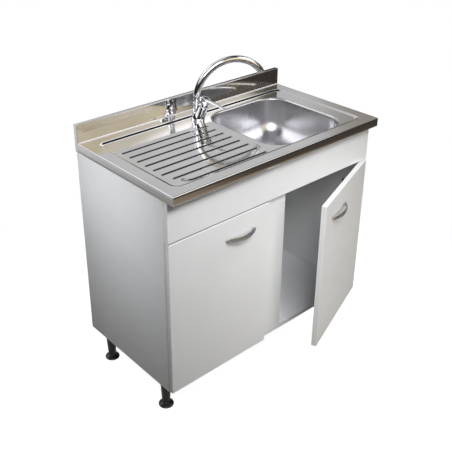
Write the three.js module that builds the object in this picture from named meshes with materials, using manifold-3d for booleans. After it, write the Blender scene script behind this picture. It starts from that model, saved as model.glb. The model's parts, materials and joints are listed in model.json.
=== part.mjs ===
// A kitchen sink unit: a pressed stainless worktop with bowl, drainer and upstand, a single-lever
// swan-neck mixer, and a two-door melamine base cabinet on four adjustable legs.
// Millimetres. +X is right, +Y is towards the wall, +Z is up, and the doors face -Y.
// Every size is worked out about the middle of the worktop; the last lines move the origin to
// the middle of the unit's footprint, with the right-hand door standing ajar.
import * as THREE from 'three';
import { mergeVertices } from 'three/addons/utils/BufferGeometryUtils.js';
import Module from 'manifold-3d';

const wasm = await Module();
wasm.setup();

// ---------------------------------------------------------------- driving dimensions
const SEAT = 0.3; // gap between pieces that touch
const RUN = 0.3; // running clearance round a turning or sliding fit
const PAST = 1; // by which a cutting form runs past the face that it opens

// worktop
const TOP_WIDTH = 900;
const TOP_DEPTH = 500;
const TOP_HEIGHT = 850; // floor to the raised border
const SHEET = 1;
const LIP_DROP = 30;
const LIP_RADIUS = 3;
const END_EASE = 1.2; // the folded sheet's edges at its two ends
const UPSTAND_HEIGHT = 62;
const UPSTAND_THICKNESS = 17;
const RECESS_SIDE = 40; // raised border at each end
const RECESS_FRONT = 39;
const RECESS_BACK = 41; // from the upstand's face
const RECESS_DEPTH = 4;
const RECESS_SLOPE = 7; // run of the sloping step
const RECESS_RADIUS = 32;

// bowl
const BOWL_WIDTH = 352;
const BOWL_LENGTH = 367; // front to back
const BOWL_DEPTH = 150;
const BOWL_RADIUS = 80;
const BOWL_RIGHT = 96; // from the worktop's right end
const BOWL_FRONT = 48; // from the worktop's front
const BOWL_RIM_RADIUS = 7;
const BOWL_FLOOR_RADIUS = 74; // the wall's wide sweep into the floor
const BOWL_DRAFT = 5; // degrees
const BOWL_FALL = 3; // floor's fall to the waste
const CORNER_TIGHTENING = 0.4; // of the corner radius, per millimetre that the wall comes in

// drainer
const GROOVE_COUNT = 8;
const GROOVE_PITCH = 39.7;
const GROOVE_WIDTH = 11;
const GROOVE_DEPTH = 2.6;
const GROOVE_LEFT = 30; // from the recess's left edge
const GROOVE_RIGHT = 40; // from the bowl
const GROOVE_FRONT = 18; // from the recess's front edge
const GROOVE_TURN = 26; // radius of the front groove's turned end
const GROOVE_TURN_SHAPE = { along: 0.95, across: 0.75 }; // of that radius
const GROOVE_SECTION = [ // from the bottom up, as shares of the half width and of the depth
  { out: 0.3, down: 1 },
  { out: 0.62, down: 0.82 },
  { out: 1, down: 0 },
];

// waste
const WASTE_HOLE = 88;
const WASTE_FLANGE = 112;
const WASTE_WALL = 2;
const WASTE_CUP_DEPTH = 42;
const WASTE_TAIL = 40;
const WASTE_TAIL_LENGTH = 44;
const WASTE_CONE = 6; // the cup's floor falls by this to the tail
const WASTE_RIM = 4; // the cup's flange
const SPIGOT_BELOW = 12; // the flange's spigot inside the cup
const SPIGOT_LEDGE = 3; // carries the basket
const TAIL_NUT_DROP = 24; // below the cup's floor
const TAIL_NUT_HEIGHT = 14;
const TAIL_NUT_WALL = 6;
const GASKET = 2.5;
const BASKET_HOLES = 8;
const BASKET_WALL = 1.2;
const BASKET_HOLE = 6.4;
const BASKET_KNOB = 16;
const BASKET_KNOB_HEIGHT = 20;
const BASKET_STEM = 8;

// mixer
const TAP_FROM_BOWL = 22; // tap hole's centre to the bowl's left edge
const TAP_FROM_BACK = 95; // tap hole's centre to the worktop's back
const TAP_HOLE = 35;
const TAP_BASE = 44;
const TAP_RING = 3;
const TAP_RING_OUT = 2; // past the body's foot
const TAP_BAND = 4; // straight band at the body's foot
const TAP_FLARE = { height: 14, in: 3 }; // where the foot's flare ends
const TAP_WAIST = { height: 24, in: 5 };
const SHOULDER = 1.5; // small bevel round rings and collars
const SPOUT_BACK = 7; // the spout's axis behind the tap hole's
const SPOUT_TUBE = 24;
const SPOUT_BORE = 17;
const SPOUT_BEND = 132; // radius of the swan neck
const SPOUT_SWEEP = 141; // degrees
const SPOUT_HEADING = -20; // degrees from +X
const SPOUT_SOCKET = 28;
const SPOUT_SOCKET_TOP = 54; // above the deck
const COLLAR_HEIGHT = 6;
const SPOUT_RISER = 4; // straight tube between the collar and the bend
const SPIGOT_LENGTH = 16;
const SPIGOT_STEP = 1; // smaller than the tube, all round
const CARTRIDGE_LEAN = 25; // degrees towards the front
const CARTRIDGE_LENGTH = 60;
const TOP_EASE = 1; // bevel round the housing's top
const HOUSING_SET = 6; // the housing's foot, up from the deck and forward of the hole's centre
const HOUSING_CONE = { start: -2, end: 14, in: 3 }; // along the housing
const CARTRIDGE_HOUSING = 36;
const CARTRIDGE_BORE = 28;
const CARTRIDGE_DEPTH = 30;
const CARTRIDGE_PROUD = 1; // of the housing's top
const CARTRIDGE_WELL = { depth: 10, margin: 3 }; // round the spindle
const NUT_MOUTH = 23;
const NUT_CROWN = 9; // above the lift pivot
const SPINDLE = 10;
const SPINDLE_FLANGE = { out: 2, height: 4, cone: 2 };
const SPINDLE_NECK = 0.56; // of the ball's radius
const LIFT_PIVOT = 7; // above the housing's top
const LEVER_HEAD = 44;
const LEVER_DOME = 36.6; // hollow under the head, round about the lift pivot
const DOME_GAP = 0.8;
const HEAD_RIM = 1.5; // above the lift pivot
const HEAD_WALL = 1.8;
const HEAD_EASE = 0.8;
const HEAD_SHOULDER = 9; // the crown's rounding, down the head's side
const HEAD_CURVE = [ // shares of the head's radius and of the shoulder, down from the crown
  { out: 1, down: 1 },
  { out: 0.95, down: 0.6 },
  { out: 0.8, down: 0.22 },
  { out: 0.55, down: 0.05 },
];
const BOSS = 14;
const SOCKET_LIP = 0.5; // the socket's mouth below the ball's middle
const BLADE_DROP = 7; // below the head's crown
const LEVER_ROOT = 25;
const LEVER_REACH = 98;
const LEVER_TIP = 13;
const LEVER_THICKNESS = { root: 10.2, tip: 4.5 };
const LEVER_ARCH = 3; // rise of the blade between its ends
const LEVER_FALL = 4; // from root to tip
const SQUARENESS = 0.8; // of the blade's oval section: 1 is an ellipse
const AERATOR = 20;
const AERATOR_LENGTH = 9;
const AERATOR_SPIGOT = 8; // inside the spout's mouth
const AERATOR_BAND = 4;
const AERATOR_FACE = 2; // set in from the aerator's end
const MOUTH_DEPTH = 22; // of the spout's bore
const SHANK = 32;
const SHANK_LENGTH = 58;
const SHANK_BORE = 24;
const TAP_NUT = 52;
const TAP_NUT_HEIGHT = 9;
const WASHER = 1.5;

// cabinet
const BOARD = 16;
const FRONT_BOARD = 18;
const CARCASS_OVERHANG = 3; // of the worktop at each end
const CARCASS_DEPTH = 447;
const CARCASS_BACK_GAP = 3; // behind the carcass, to the worktop's back
const BACK_BOARD = 3;
const BACK_SET_IN = 6; // from the carcass's back edge
const BACK_GROOVE = 6;
const BACK_TOP = 560; // above the floor
const LEG_HEIGHT = 130;
const STILE_WIDTH = 106;
const RAIL_HEIGHT = 36;
const REAR_RAIL_HEIGHT = 100;
const FASCIA_DROP = 22; // below the worktop

// doors
const DOOR_SPACING = 82; // between the two closed doors
const DOOR_HEIGHT = 546;
const DOOR_UP = 6; // above the carcass's lower edge
const DOOR_GAP = 3; // door to fascia
const DOOR_STANDOFF = 2; // door to carcass
const DOOR_EASE = 1;
const DOOR_AJAR = 20.77; // degrees, the right-hand door as it stands
const BUMPER = 8;
const BUMPER_END = 40; // from the door's top and bottom
const BUMPER_EDGE = 1; // from the stile's edge
const BUMPER_EASE = 0.6;

// handles
const HANDLE_LENGTH = 125;
const HANDLE_EDGE = 62; // from the door's free edge
const HANDLE_DROP = 70; // below the door's top
const HANDLE_BOW = 25;
const HANDLE_WIDTH = 18; // across the band at its middle
const HANDLE_TAPER = 3; // narrower towards the ends
const HANDLE_THICKNESS = 5.5;
const HANDLE_TIP = 9; // length of each rounded end
const HANDLE_POST = 9;
const HANDLE_EDGE_SHARE = 0.45; // thickness of the tips' very ends, as a share of the band's
const HANDLE_BLUNT = 0.4; // the last ring stops this share of a step short of the tip

// hinges
const HINGE_END = 100; // from the door's top and bottom
const CUP = 35;
const CUP_DEPTH = 11.5;
const CUP_EDGE = 22.5; // from the door's edge
const CUP_SHEET = 1.2;
const CUP_WINGS = 60;
const CUP_WING_WIDTH = 13;
const CUP_LIP = 1.5; // of the flange round the cup
const CUP_FOOT = 2; // height of the bevel round the cup's floor
const ARM_LENGTH = 45;
const ARM_START = 12; // its straight part, behind the carcass's front edge
const ARM_WIDTH = 14;
const ARM_HEIGHT = 11;
const ARM_SHEET = 1.4;
const LINK_WIDTH = 9;
const LINK_THICKNESS = 2.4;
const LINK_EDGE = 17; // from the door's edge, where it leaves the cup
const LINK_RAKE = 2; // its foot is nearer to the edge by this
const LINK_BEND = 8; // height of its bend above the cup's mouth
const LINK_BEND_DROP = 1.5; // the bend's inner side is lower by this
const LINK_TIP = 46; // degrees round the door's turning line
const LINK_TIP_SPAN = 7;
const HINGE_TRACK = 38; // radius of the arm's curved nose about the turning line
const TRACK_THICKNESS = 2.6;
const TRACK_START = 27; // degrees
const TRACK_SPAN = 22;
const PLATE_LENGTH = 40;
const PLATE_SPAN = 48;
const PLATE_THICKNESS = 2.5;
const PLATE_START = 14; // behind the carcass's front edge
const PLATE_CROSS = 18; // width of its upright bar
const PLATE_TONGUE = 16; // height of the bar along the arm
const ARM_NOSE = 2; // the arm starts this far behind the carcass's front edge

// legs
const LEG_SIDE = 44; // leg's axis from the carcass's side
const LEG_FRONT = 77; // from the carcass's front edge
const LEG_BACK = 49; // from the carcass's back edge
const LEG_TOP = 38;
const LEG_FLANGE = 62;
const LEG_FLANGE_THICKNESS = 4;
const LEG_COLLAR = { height: 6, out: 2 }; // widening under the flange
const LEG_ANKLE = 28;
const FOOT = 52;
const FOOT_HEIGHT = 12;
const FOOT_NECK = 25;
const FOOT_NECK_TOP = 22;
const FOOT_RIM = { ease: 1.5, low: 2, high: 4.5, in: 1 };
const FOOT_DISH = { in: 5, drop: 4.5, out: 3 }; // the hollow curve from the rim up to the neck
const STUD = 10;
const STUD_LENGTH = 62;
const STUD_ROOM = 4; // above the stud, in the leg

// ---------------------------------------------------------------- places worked out from them
const topBack = TOP_DEPTH / 2;
const topFront = -TOP_DEPTH / 2;
const upstandFace = topBack - UPSTAND_THICKNESS;
const recess = {
  x0: -TOP_WIDTH / 2 + RECESS_SIDE,
  x1: TOP_WIDTH / 2 - RECESS_SIDE,
  y0: topFront + RECESS_FRONT,
  y1: upstandFace - RECESS_BACK,
};
const deck = TOP_HEIGHT - RECESS_DEPTH; // the sunk working surface
const bowlX = TOP_WIDTH / 2 - BOWL_RIGHT - BOWL_WIDTH / 2;
const bowlY = topFront + BOWL_FRONT + BOWL_LENGTH / 2;
const bowlFloor = deck - BOWL_DEPTH;
const wasteSeat = bowlFloor - BOWL_FALL;

const carcassX = TOP_WIDTH / 2 - CARCASS_OVERHANG;
const carcassBack = topBack - CARCASS_BACK_GAP;
const carcassFront = carcassBack - CARCASS_DEPTH;
const carcassTop = TOP_HEIGHT - SHEET - SEAT;
const doorWidth = carcassX - DOOR_SPACING / 2;
const innerX = carcassX - BOARD;
const floorTop = LEG_HEIGHT + BOARD;
const doorBack = carcassFront - DOOR_STANDOFF;
const doorFront = doorBack - FRONT_BOARD;
const doorBottom = LEG_HEIGHT + DOOR_UP;
const doorTop = doorBottom + DOOR_HEIGHT;
const fasciaBottom = doorTop + DOOR_GAP;
const backFace = carcassBack - BACK_SET_IN; // rear face of the back board
const hingeHeights = { lower: doorBottom + HINGE_END, upper: doorTop - HINGE_END };

const tapX = bowlX - BOWL_WIDTH / 2 - TAP_FROM_BOWL;
const tapY = topBack - TAP_FROM_BACK;
const tapDeck = deck;
const spoutY = tapY + SPOUT_BACK;
const collarBottom = tapDeck + SPOUT_SOCKET_TOP + SEAT;
const collarTop = collarBottom + COLLAR_HEIGHT;
const bendStart = collarTop + SPOUT_RISER;
const liftPivot = CARTRIDGE_LENGTH + LIFT_PIVOT; // along the cartridge's axis
const spigotRadius = SPOUT_TUBE / 2 - SPIGOT_STEP;
const COS_30 = 0.87;
const lean = THREE.MathUtils.degToRad(CARTRIDGE_LEAN);
const ajar = THREE.MathUtils.degToRad(DOOR_AJAR);

// ---------------------------------------------------------------- materials
const finish = (color, roughness, metalness) =>
  new THREE.MeshStandardMaterial({ color, roughness, metalness });
const steel = finish(0xb9bab8, 0.3, 0.9);
const chrome = finish(0xdde0e4, 0.08, 1);
const satinChrome = finish(0xaeb0b2, 0.28, 1);
const melamine = finish(0xe6e8ea, 0.42, 0);
const innerBoard = finish(0xdcdfe1, 0.5, 0);
const hardboard = finish(0xe2e2de, 0.7, 0);
const blackPlastic = finish(0x1c1c1c, 0.45, 0);
const whitePlastic = finish(0xe9e9e6, 0.4, 0);
const rubber = finish(0x202020, 0.85, 0);
const clearFelt = finish(0xd9dad6, 0.6, 0);
const zinc = finish(0x9c9ea0, 0.35, 0.9);
const nickel = finish(0x7d7f82, 0.35, 1);
const brass = finish(0xb89a5a, 0.35, 1);

// ---------------------------------------------------------------- shape tools
const unit = new THREE.Group();

function place(name, geometry, material, parent = unit) {
  const mesh = new THREE.Mesh(geometry, material);
  mesh.name = name;
  parent.add(mesh);
  return mesh;
}

function solid(geometry) {
  const bare = geometry.clone();
  bare.deleteAttribute('normal');
  bare.deleteAttribute('uv');
  const merged = mergeVertices(bare, 1e-4);
  return new wasm.Manifold(
    new wasm.Mesh({
      numProp: 3,
      vertProperties: new Float32Array(merged.attributes.position.array),
      triVerts: new Uint32Array(merged.index.array),
    })
  );
}

function surface(manifold) {
  const mesh = manifold.getMesh();
  const geometry = new THREE.BufferGeometry();
  geometry.setAttribute('position', new THREE.BufferAttribute(mesh.vertProperties, 3));
  geometry.setIndex(new THREE.BufferAttribute(mesh.triVerts, 1));
  geometry.computeVertexNormals();
  return geometry;
}

const join = (...parts) => surface(parts.map(solid).reduce((a, b) => a.add(b)));
const cut = (body, ...tools) => surface(tools.map(solid).reduce((a, b) => a.subtract(b), solid(body)));

// A box between two corners.
function block(x0, x1, y0, y1, z0, z1) {
  const box = new THREE.BoxGeometry(x1 - x0, y1 - y0, z1 - z0);
  return box.translate((x0 + x1) / 2, (y0 + y1) / 2, (z0 + z1) / 2);
}

// A board with eased edges round both faces; its thickness runs along Y.
function easedFront(width, height, thickness, ease) {
  const shape = new THREE.Shape();
  shape.moveTo(ease, ease);
  shape.lineTo(width - ease, ease);
  shape.lineTo(width - ease, height - ease);
  shape.lineTo(ease, height - ease);
  shape.closePath();
  const board = new THREE.ExtrudeGeometry(shape, {
    depth: thickness - 2 * ease,
    bevelEnabled: true,
    bevelThickness: ease,
    bevelSize: ease,
    bevelSegments: 1,
  });
  return board.translate(0, 0, ease).rotateX(Math.PI / 2).translate(0, thickness, 0);
}

// A turned solid about +Z from [radius, height] pairs that start and end on the axis or close up.
function turned(profile, sides = 24) {
  const points = profile.map(([r, z]) => new THREE.Vector2(r, z));
  return new THREE.LatheGeometry(points, sides).rotateX(Math.PI / 2);
}

const ring = (inner, outer, z0, z1, sides = 24) =>
  turned([[inner, z0], [outer, z0], [outer, z1], [inner, z1], [inner, z0]], sides);
const disc = (radius, z0, z1, sides = 24) =>
  turned([[0, z0], [radius, z0], [radius, z1], [0, z1]], sides);

// A solid through a stack of rings of [x, y, z] points, listed anticlockwise from the bottom up.
function loft(rings) {
  const count = rings[0].length;
  const positions = rings.flat(2);
  const index = [];
  for (let k = 0; k < rings.length - 1; k += 1) {
    for (let i = 0; i < count; i += 1) {
      const a = k * count + i;
      const b = k * count + ((i + 1) % count);
      index.push(a, b, b + count, a, b + count, a + count);
    }
  }
  const flat = (points) => points.map(([x, y]) => new THREE.Vector2(x, y));
  const last = (rings.length - 1) * count;
  for (const [a, b, c] of THREE.ShapeUtils.triangulateShape(flat(rings[0]), [])) index.push(a, c, b);
  for (const [a, b, c] of THREE.ShapeUtils.triangulateShape(flat(rings.at(-1)), [])) {
    index.push(last + a, last + b, last + c);
  }
  const geometry = new THREE.BufferGeometry();
  geometry.setAttribute('position', new THREE.Float32BufferAttribute(positions, 3));
  geometry.setIndex(index);
  return geometry;
}

// A rounded rectangle of points, anticlockwise, with its straight sides divided too.
function roundedRing(cx, cy, halfX, halfY, radius, z, arcs = 7, straights = 3) {
  const points = [];
  const corners = [[1, 1], [-1, 1], [-1, -1], [1, -1]];
  corners.forEach(([sx, sy], corner) => {
    const ox = cx + sx * (halfX - radius);
    const oy = cy + sy * (halfY - radius);
    for (let i = 0; i <= arcs; i += 1) {
      const angle = (corner + i / arcs) * (Math.PI / 2);
      points.push([ox + radius * Math.cos(angle), oy + radius * Math.sin(angle), z]);
    }
    const [nx, ny] = corners[(corner + 1) % 4];
    const from = points.at(-1);
    const turn = (corner + 1) * (Math.PI / 2);
    const to = [
      cx + nx * (halfX - radius) + radius * Math.cos(turn),
      cy + ny * (halfY - radius) + radius * Math.sin(turn),
    ];
    for (let i = 1; i < straights; i += 1) {
      const t = i / straights;
      points.push([from[0] + (to[0] - from[0]) * t, from[1] + (to[1] - from[1]) * t, z]);
    }
  });
  return points;
}

// The outline of a round-ended strip along a centre line of [x, y] points.
function stripRing(line, half, z, arcs = 4) {
  const points = [];
  const side = (list, first) => {
    list.forEach(([x, y], i) => {
      const [ax, ay] = list[Math.max(i - 1, 0)];
      const [bx, by] = list[Math.min(i + 1, list.length - 1)];
      const heading = Math.atan2(by - ay, bx - ax) - Math.PI / 2;
      if (i < list.length - 1 || first) {
        points.push([x + half * Math.cos(heading), y + half * Math.sin(heading), z]);
      }
      if (i === list.length - 1) {
        for (let k = 1; k < arcs; k += 1) {
          const angle = heading + (k / arcs) * Math.PI;
          points.push([x + half * Math.cos(angle), y + half * Math.sin(angle), z]);
        }
      }
    });
  };
  side(line, true);
  side([...line].reverse(), true);
  return points;
}

// ---------------------------------------------------------------- worktop
// Front lip, deck and hollow upstand are one folded profile that runs the whole width.
function worktopProfile(inset) {
  const r = LIP_RADIUS;
  const shape = new THREE.Shape();
  const bottom = TOP_HEIGHT - LIP_DROP - (inset > 0 ? SHEET : 0);
  const front = topFront + inset;
  const back = topBack - inset;
  const face = upstandFace + inset;
  const level = TOP_HEIGHT - inset;
  const crest = TOP_HEIGHT + UPSTAND_HEIGHT - inset;
  shape.moveTo(front, bottom);
  shape.lineTo(back, bottom);
  shape.lineTo(back, crest - r);
  shape.absarc(back - r, crest - r, r, 0, Math.PI / 2, false);
  shape.lineTo(face + r, crest);
  shape.absarc(face + r, crest - r, r, Math.PI / 2, Math.PI, false);
  shape.lineTo(face, level + r);
  shape.absarc(face - r, level + r, r, 0, -Math.PI / 2, true);
  shape.lineTo(front + r, level);
  shape.absarc(front + r, level - r, r, Math.PI / 2, Math.PI, false);
  shape.closePath();
  return shape;
}

function worktopFold(inset) {
  const half = TOP_WIDTH / 2 - inset;
  const ease = inset > 0 ? 0 : END_EASE;
  const body = new THREE.ExtrudeGeometry(worktopProfile(inset), {
    depth: 2 * (half - ease),
    bevelEnabled: ease > 0,
    bevelThickness: ease,
    bevelSize: ease,
    bevelOffset: -ease,
    bevelSegments: 1,
    curveSegments: 3,
  });
  // the profile's first axis becomes Y and its second Z
  const turn = new THREE.Matrix4().makeBasis(
    new THREE.Vector3(0, 1, 0),
    new THREE.Vector3(0, 0, 1),
    new THREE.Vector3(1, 0, 0)
  );
  return body.translate(0, 0, -(half - ease)).applyMatrix4(turn);
}

// The sunk working surface: grow is the extra size of the underside's former.
function recessPan(grow, top, bottom) {
  const cx = (recess.x0 + recess.x1) / 2;
  const cy = (recess.y0 + recess.y1) / 2;
  const halfX = (recess.x1 - recess.x0) / 2;
  const halfY = (recess.y1 - recess.y0) / 2;
  const step = (z) => Math.min(Math.max((TOP_HEIGHT - z) / RECESS_DEPTH, 0), 1) * RECESS_SLOPE;
  const at = (z, s) =>
    roundedRing(cx, cy, halfX - s + grow, halfY - s + grow, RECESS_RADIUS - s + grow, z, 6, 1);
  const mouth = grow > 0 ? [at(top, step(top + SHEET))] : [at(TOP_HEIGHT, 0), at(top, 0)];
  return loft([at(bottom, RECESS_SLOPE), ...mouth]);
}

// Inset from the rim and height of points down the bowl's wall and over its floor.
function bowlSection() {
  const draft = THREE.MathUtils.degToRad(BOWL_DRAFT);
  const points = [];
  const rimTurn = Math.PI / 2 - draft;
  const rimSteps = 3;
  for (let i = 0; i <= rimSteps; i += 1) {
    const a = (i / rimSteps) * rimTurn;
    points.push([BOWL_RIM_RADIUS * Math.sin(a), deck - BOWL_RIM_RADIUS * (1 - Math.cos(a))]);
  }
  const [wallTop, wallTopZ] = points.at(-1);
  const filletTopZ = bowlFloor + BOWL_FLOOR_RADIUS * (1 - Math.sin(draft));
  const wallFoot = wallTop + (wallTopZ - filletTopZ) * Math.tan(draft);
  const centre = wallFoot + BOWL_FLOOR_RADIUS * Math.cos(draft);
  const floorSteps = 7;
  for (let i = 0; i <= floorSteps; i += 1) {
    const b = draft + (i / floorSteps) * rimTurn;
    points.push([
      centre - BOWL_FLOOR_RADIUS * Math.cos(b),
      bowlFloor + BOWL_FLOOR_RADIUS * (1 - Math.sin(b)),
    ]);
  }
  return points;
}

// The section pushed out by a thickness, square to itself.
function pushedOut(section, thickness) {
  return section.map(([inset, z], i) => {
    const [ax, az] = section[Math.max(i - 1, 0)];
    const [bx, bz] = section[Math.min(i + 1, section.length - 1)];
    const length = Math.hypot(bx - ax, bz - az);
    return [inset + ((bz - az) / length) * thickness, z - ((bx - ax) / length) * thickness];
  });
}

function bowlFormer(thickness, mouthZ) {
  const section = pushedOut(bowlSection(), thickness);
  const ringAt = ([inset, z]) => {
    const radius = BOWL_RADIUS - Math.max(inset, 0) * CORNER_TIGHTENING;
    return roundedRing(bowlX, bowlY, BOWL_WIDTH / 2 - inset, BOWL_LENGTH / 2 - inset, radius, z);
  };
  const rings = section.map(ringAt);
  const seatRadius = WASTE_FLANGE / 2 + 2 * SHEET;
  const seat = rings.at(-1).map(([x, y]) => {
    const angle = Math.atan2(y - bowlY, x - bowlX);
    const seatZ = wasteSeat - thickness;
    return [bowlX + seatRadius * Math.cos(angle), bowlY + seatRadius * Math.sin(angle), seatZ];
  });
  const mouth = ringAt([section[0][0], mouthZ]);
  return loft([seat, ...rings.reverse(), mouth]);
}

// Centre line of one drainer groove; the front one turns back at its left end.
function grooveLine(row) {
  const y = recess.y0 + GROOVE_FRONT + row * GROOVE_PITCH;
  const left = recess.x0 + GROOVE_LEFT;
  const right = bowlX - BOWL_WIDTH / 2 - GROOVE_RIGHT;
  if (row > 0) return [[left + (row === 1 ? GROOVE_WIDTH : 0), y], [right, y]];
  const points = [];
  const bends = 5;
  const centreX = left + GROOVE_TURN * 2;
  for (let i = 0; i <= bends; i += 1) {
    const angle = Math.PI * (1 + i / (2 * bends));
    const along = 1 + Math.cos(angle) * GROOVE_TURN_SHAPE.along;
    const across = GROOVE_TURN_SHAPE.across * (1 + Math.sin(angle));
    points.push([centreX - GROOVE_TURN * (1 - along), y + GROOVE_TURN * across]);
  }
  points.push([right, y]);
  return points;
}

function grooveFormer(row, thickness, mouthZ) {
  const line = grooveLine(row);
  const half = GROOVE_WIDTH / 2;
  const rings = [];
  for (const { out, down } of GROOVE_SECTION) {
    const grow = thickness * (down > 0 ? 0.9 : 1);
    rings.push(stripRing(line, half * out + grow, deck - GROOVE_DEPTH * down - thickness));
  }
  rings.push(stripRing(line, half + thickness, mouthZ));
  return loft(rings);
}

function makeWorktop() {
  const above = TOP_HEIGHT + PAST;
  const inSheet = deck - SHEET / 2;
  let body = solid(worktopFold(0)).subtract(solid(worktopFold(SHEET)));
  body = body.add(solid(recessPan(SHEET, TOP_HEIGHT - SHEET / 2, deck - SHEET)));
  body = body.subtract(solid(recessPan(0, above, deck)));
  body = body.add(solid(bowlFormer(SHEET, inSheet))).subtract(solid(bowlFormer(0, above)));
  for (let row = 0; row < GROOVE_COUNT; row += 1) {
    body = body.add(solid(grooveFormer(row, SHEET, inSheet)));
    body = body.subtract(solid(grooveFormer(row, 0, above)));
  }
  const clear = 5 * PAST;
  const wasteCut = disc(WASTE_HOLE / 2, wasteSeat - clear, bowlFloor + clear, 32)
    .translate(bowlX, bowlY, 0);
  const tapCut = disc(TAP_HOLE / 2, deck - clear, deck + clear).translate(tapX, tapY, 0);
  place('sink_top', surface(body.subtract(solid(wasteCut)).subtract(solid(tapCut))), steel);
}

// ---------------------------------------------------------------- waste
const atWaste = (geometry) => geometry.translate(bowlX, bowlY, 0);
const spigotR = WASTE_HOLE / 2 - RUN - SEAT; // outer radius of the flange's spigot
const spigotBore = spigotR - WASTE_WALL;
const flangeFoot = wasteSeat + SEAT;
const gasketFoot = wasteSeat - SHEET - SEAT - GASKET;
const cupRim = gasketFoot - SEAT;
const spigotFoot = cupRim - SPIGOT_BELOW;

function makeWaste() {
  const rim = WASTE_FLANGE / 2;
  const ledge = spigotBore - SPIGOT_LEDGE;
  const flange = turned([
    [ledge, spigotFoot], [spigotR, spigotFoot], [spigotR, flangeFoot], [rim, flangeFoot],
    [rim - WASTE_WALL / 2, flangeFoot + WASTE_WALL / 2], [spigotR + WASTE_WALL, flangeFoot + WASTE_WALL],
    [spigotBore, flangeFoot - WASTE_WALL / 2], [spigotBore, spigotFoot + WASTE_WALL],
    [ledge, spigotFoot + WASTE_WALL], [ledge, spigotFoot],
  ], 32);
  place('waste_flange', atWaste(flange), steel);
  const gasket = ring(spigotR + 4 * RUN, rim - 1, gasketFoot, gasketFoot + GASKET, 32);
  place('waste_gasket', atWaste(gasket), rubber);
  makeWasteCup(rim);
  makeBasket();
}

// The cup below the bowl narrows to its tail, where a nut draws the drain pipe on.
function makeWasteCup(rim) {
  const cupFoot = cupRim - WASTE_CUP_DEPTH;
  const wall = WASTE_WALL + 1;
  const shellIn = spigotR + RUN;
  const shellOut = shellIn + wall;
  const tail = WASTE_TAIL / 2;
  const tailIn = tail - WASTE_WALL;
  const tailFoot = cupFoot - WASTE_TAIL_LENGTH;
  const turnIn = 2 * wall;
  const turnUp = 3 * wall;
  const cup = turned([
    [tailIn, tailFoot], [tail, tailFoot], [tail, cupFoot - WASTE_CONE], [shellOut - turnIn, cupFoot],
    [shellOut, cupFoot + turnUp], [shellOut, cupRim - WASTE_RIM], [rim, cupRim - WASTE_RIM],
    [rim, cupRim], [shellIn, cupRim], [shellIn, cupFoot + turnUp + 1],
    [shellIn - turnIn, cupFoot + WASTE_WALL], [tailIn, cupFoot - WASTE_CONE + WASTE_WALL],
    [tailIn, tailFoot],
  ], 28);
  place('waste_cup', atWaste(cup), blackPlastic);
  const nutFoot = cupFoot - TAIL_NUT_DROP;
  const nut = ring(tail + RUN, tail + TAIL_NUT_WALL, nutFoot, nutFoot + TAIL_NUT_HEIGHT, 28);
  place('waste_tail_nut', atWaste(nut), blackPlastic);
}

// The lift-out basket hangs by its rim in the flange's mouth and stands on the ledge.
function makeBasket() {
  const rest = spigotFoot + WASTE_WALL + SEAT;
  const r = spigotBore - RUN - SEAT;
  const w = BASKET_WALL;
  const lip = flangeFoot - 3 * SHEET;
  const stem = BASKET_STEM / 2;
  const knob = BASKET_KNOB / 2;
  const top = rest + BASKET_KNOB_HEIGHT;
  const basket = turned([
    [0, rest], [r - 6 * w, rest], [r - 3 * w, rest + 4 * w], [r - 2 * w, lip - 2 * w], [r, lip],
    [r - w, lip + w], [r - 3 * w, lip - 2 * w], [r - 4 * w, rest + 5 * w], [r - 7 * w, rest + w],
    [stem + w, rest + w], [stem, top - 2 * stem], [knob, top - 4 * w], [knob, top - 2 * w],
    [knob - 2 * w, top], [0, top],
  ], 28);
  const holes = [];
  for (let i = 0; i < BASKET_HOLES; i += 1) {
    const angle = (i / BASKET_HOLES) * Math.PI * 2;
    const reach = r / 2 + w;
    const hole = disc(BASKET_HOLE / 2, rest - w, rest + 3 * w, 8);
    holes.push(hole.translate(reach * Math.cos(angle), reach * Math.sin(angle), 0));
  }
  place('strainer_basket', atWaste(cut(basket, ...holes)), steel);
}

// ---------------------------------------------------------------- mixer
const atTap = (geometry) => geometry.translate(tapX, tapY, 0);
const atSpout = (geometry) => geometry.translate(tapX, spoutY, 0);
// Puts a solid turned about +Z onto the leaning cartridge axis, its zero at the housing's foot.
const housingFoot = new THREE.Vector3(tapX, tapY - HOUSING_SET, tapDeck + HOUSING_SET);
const onCartridge = (geometry) =>
  geometry.rotateX(lean).translate(housingFoot.x, housingFoot.y, housingFoot.z);

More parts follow.
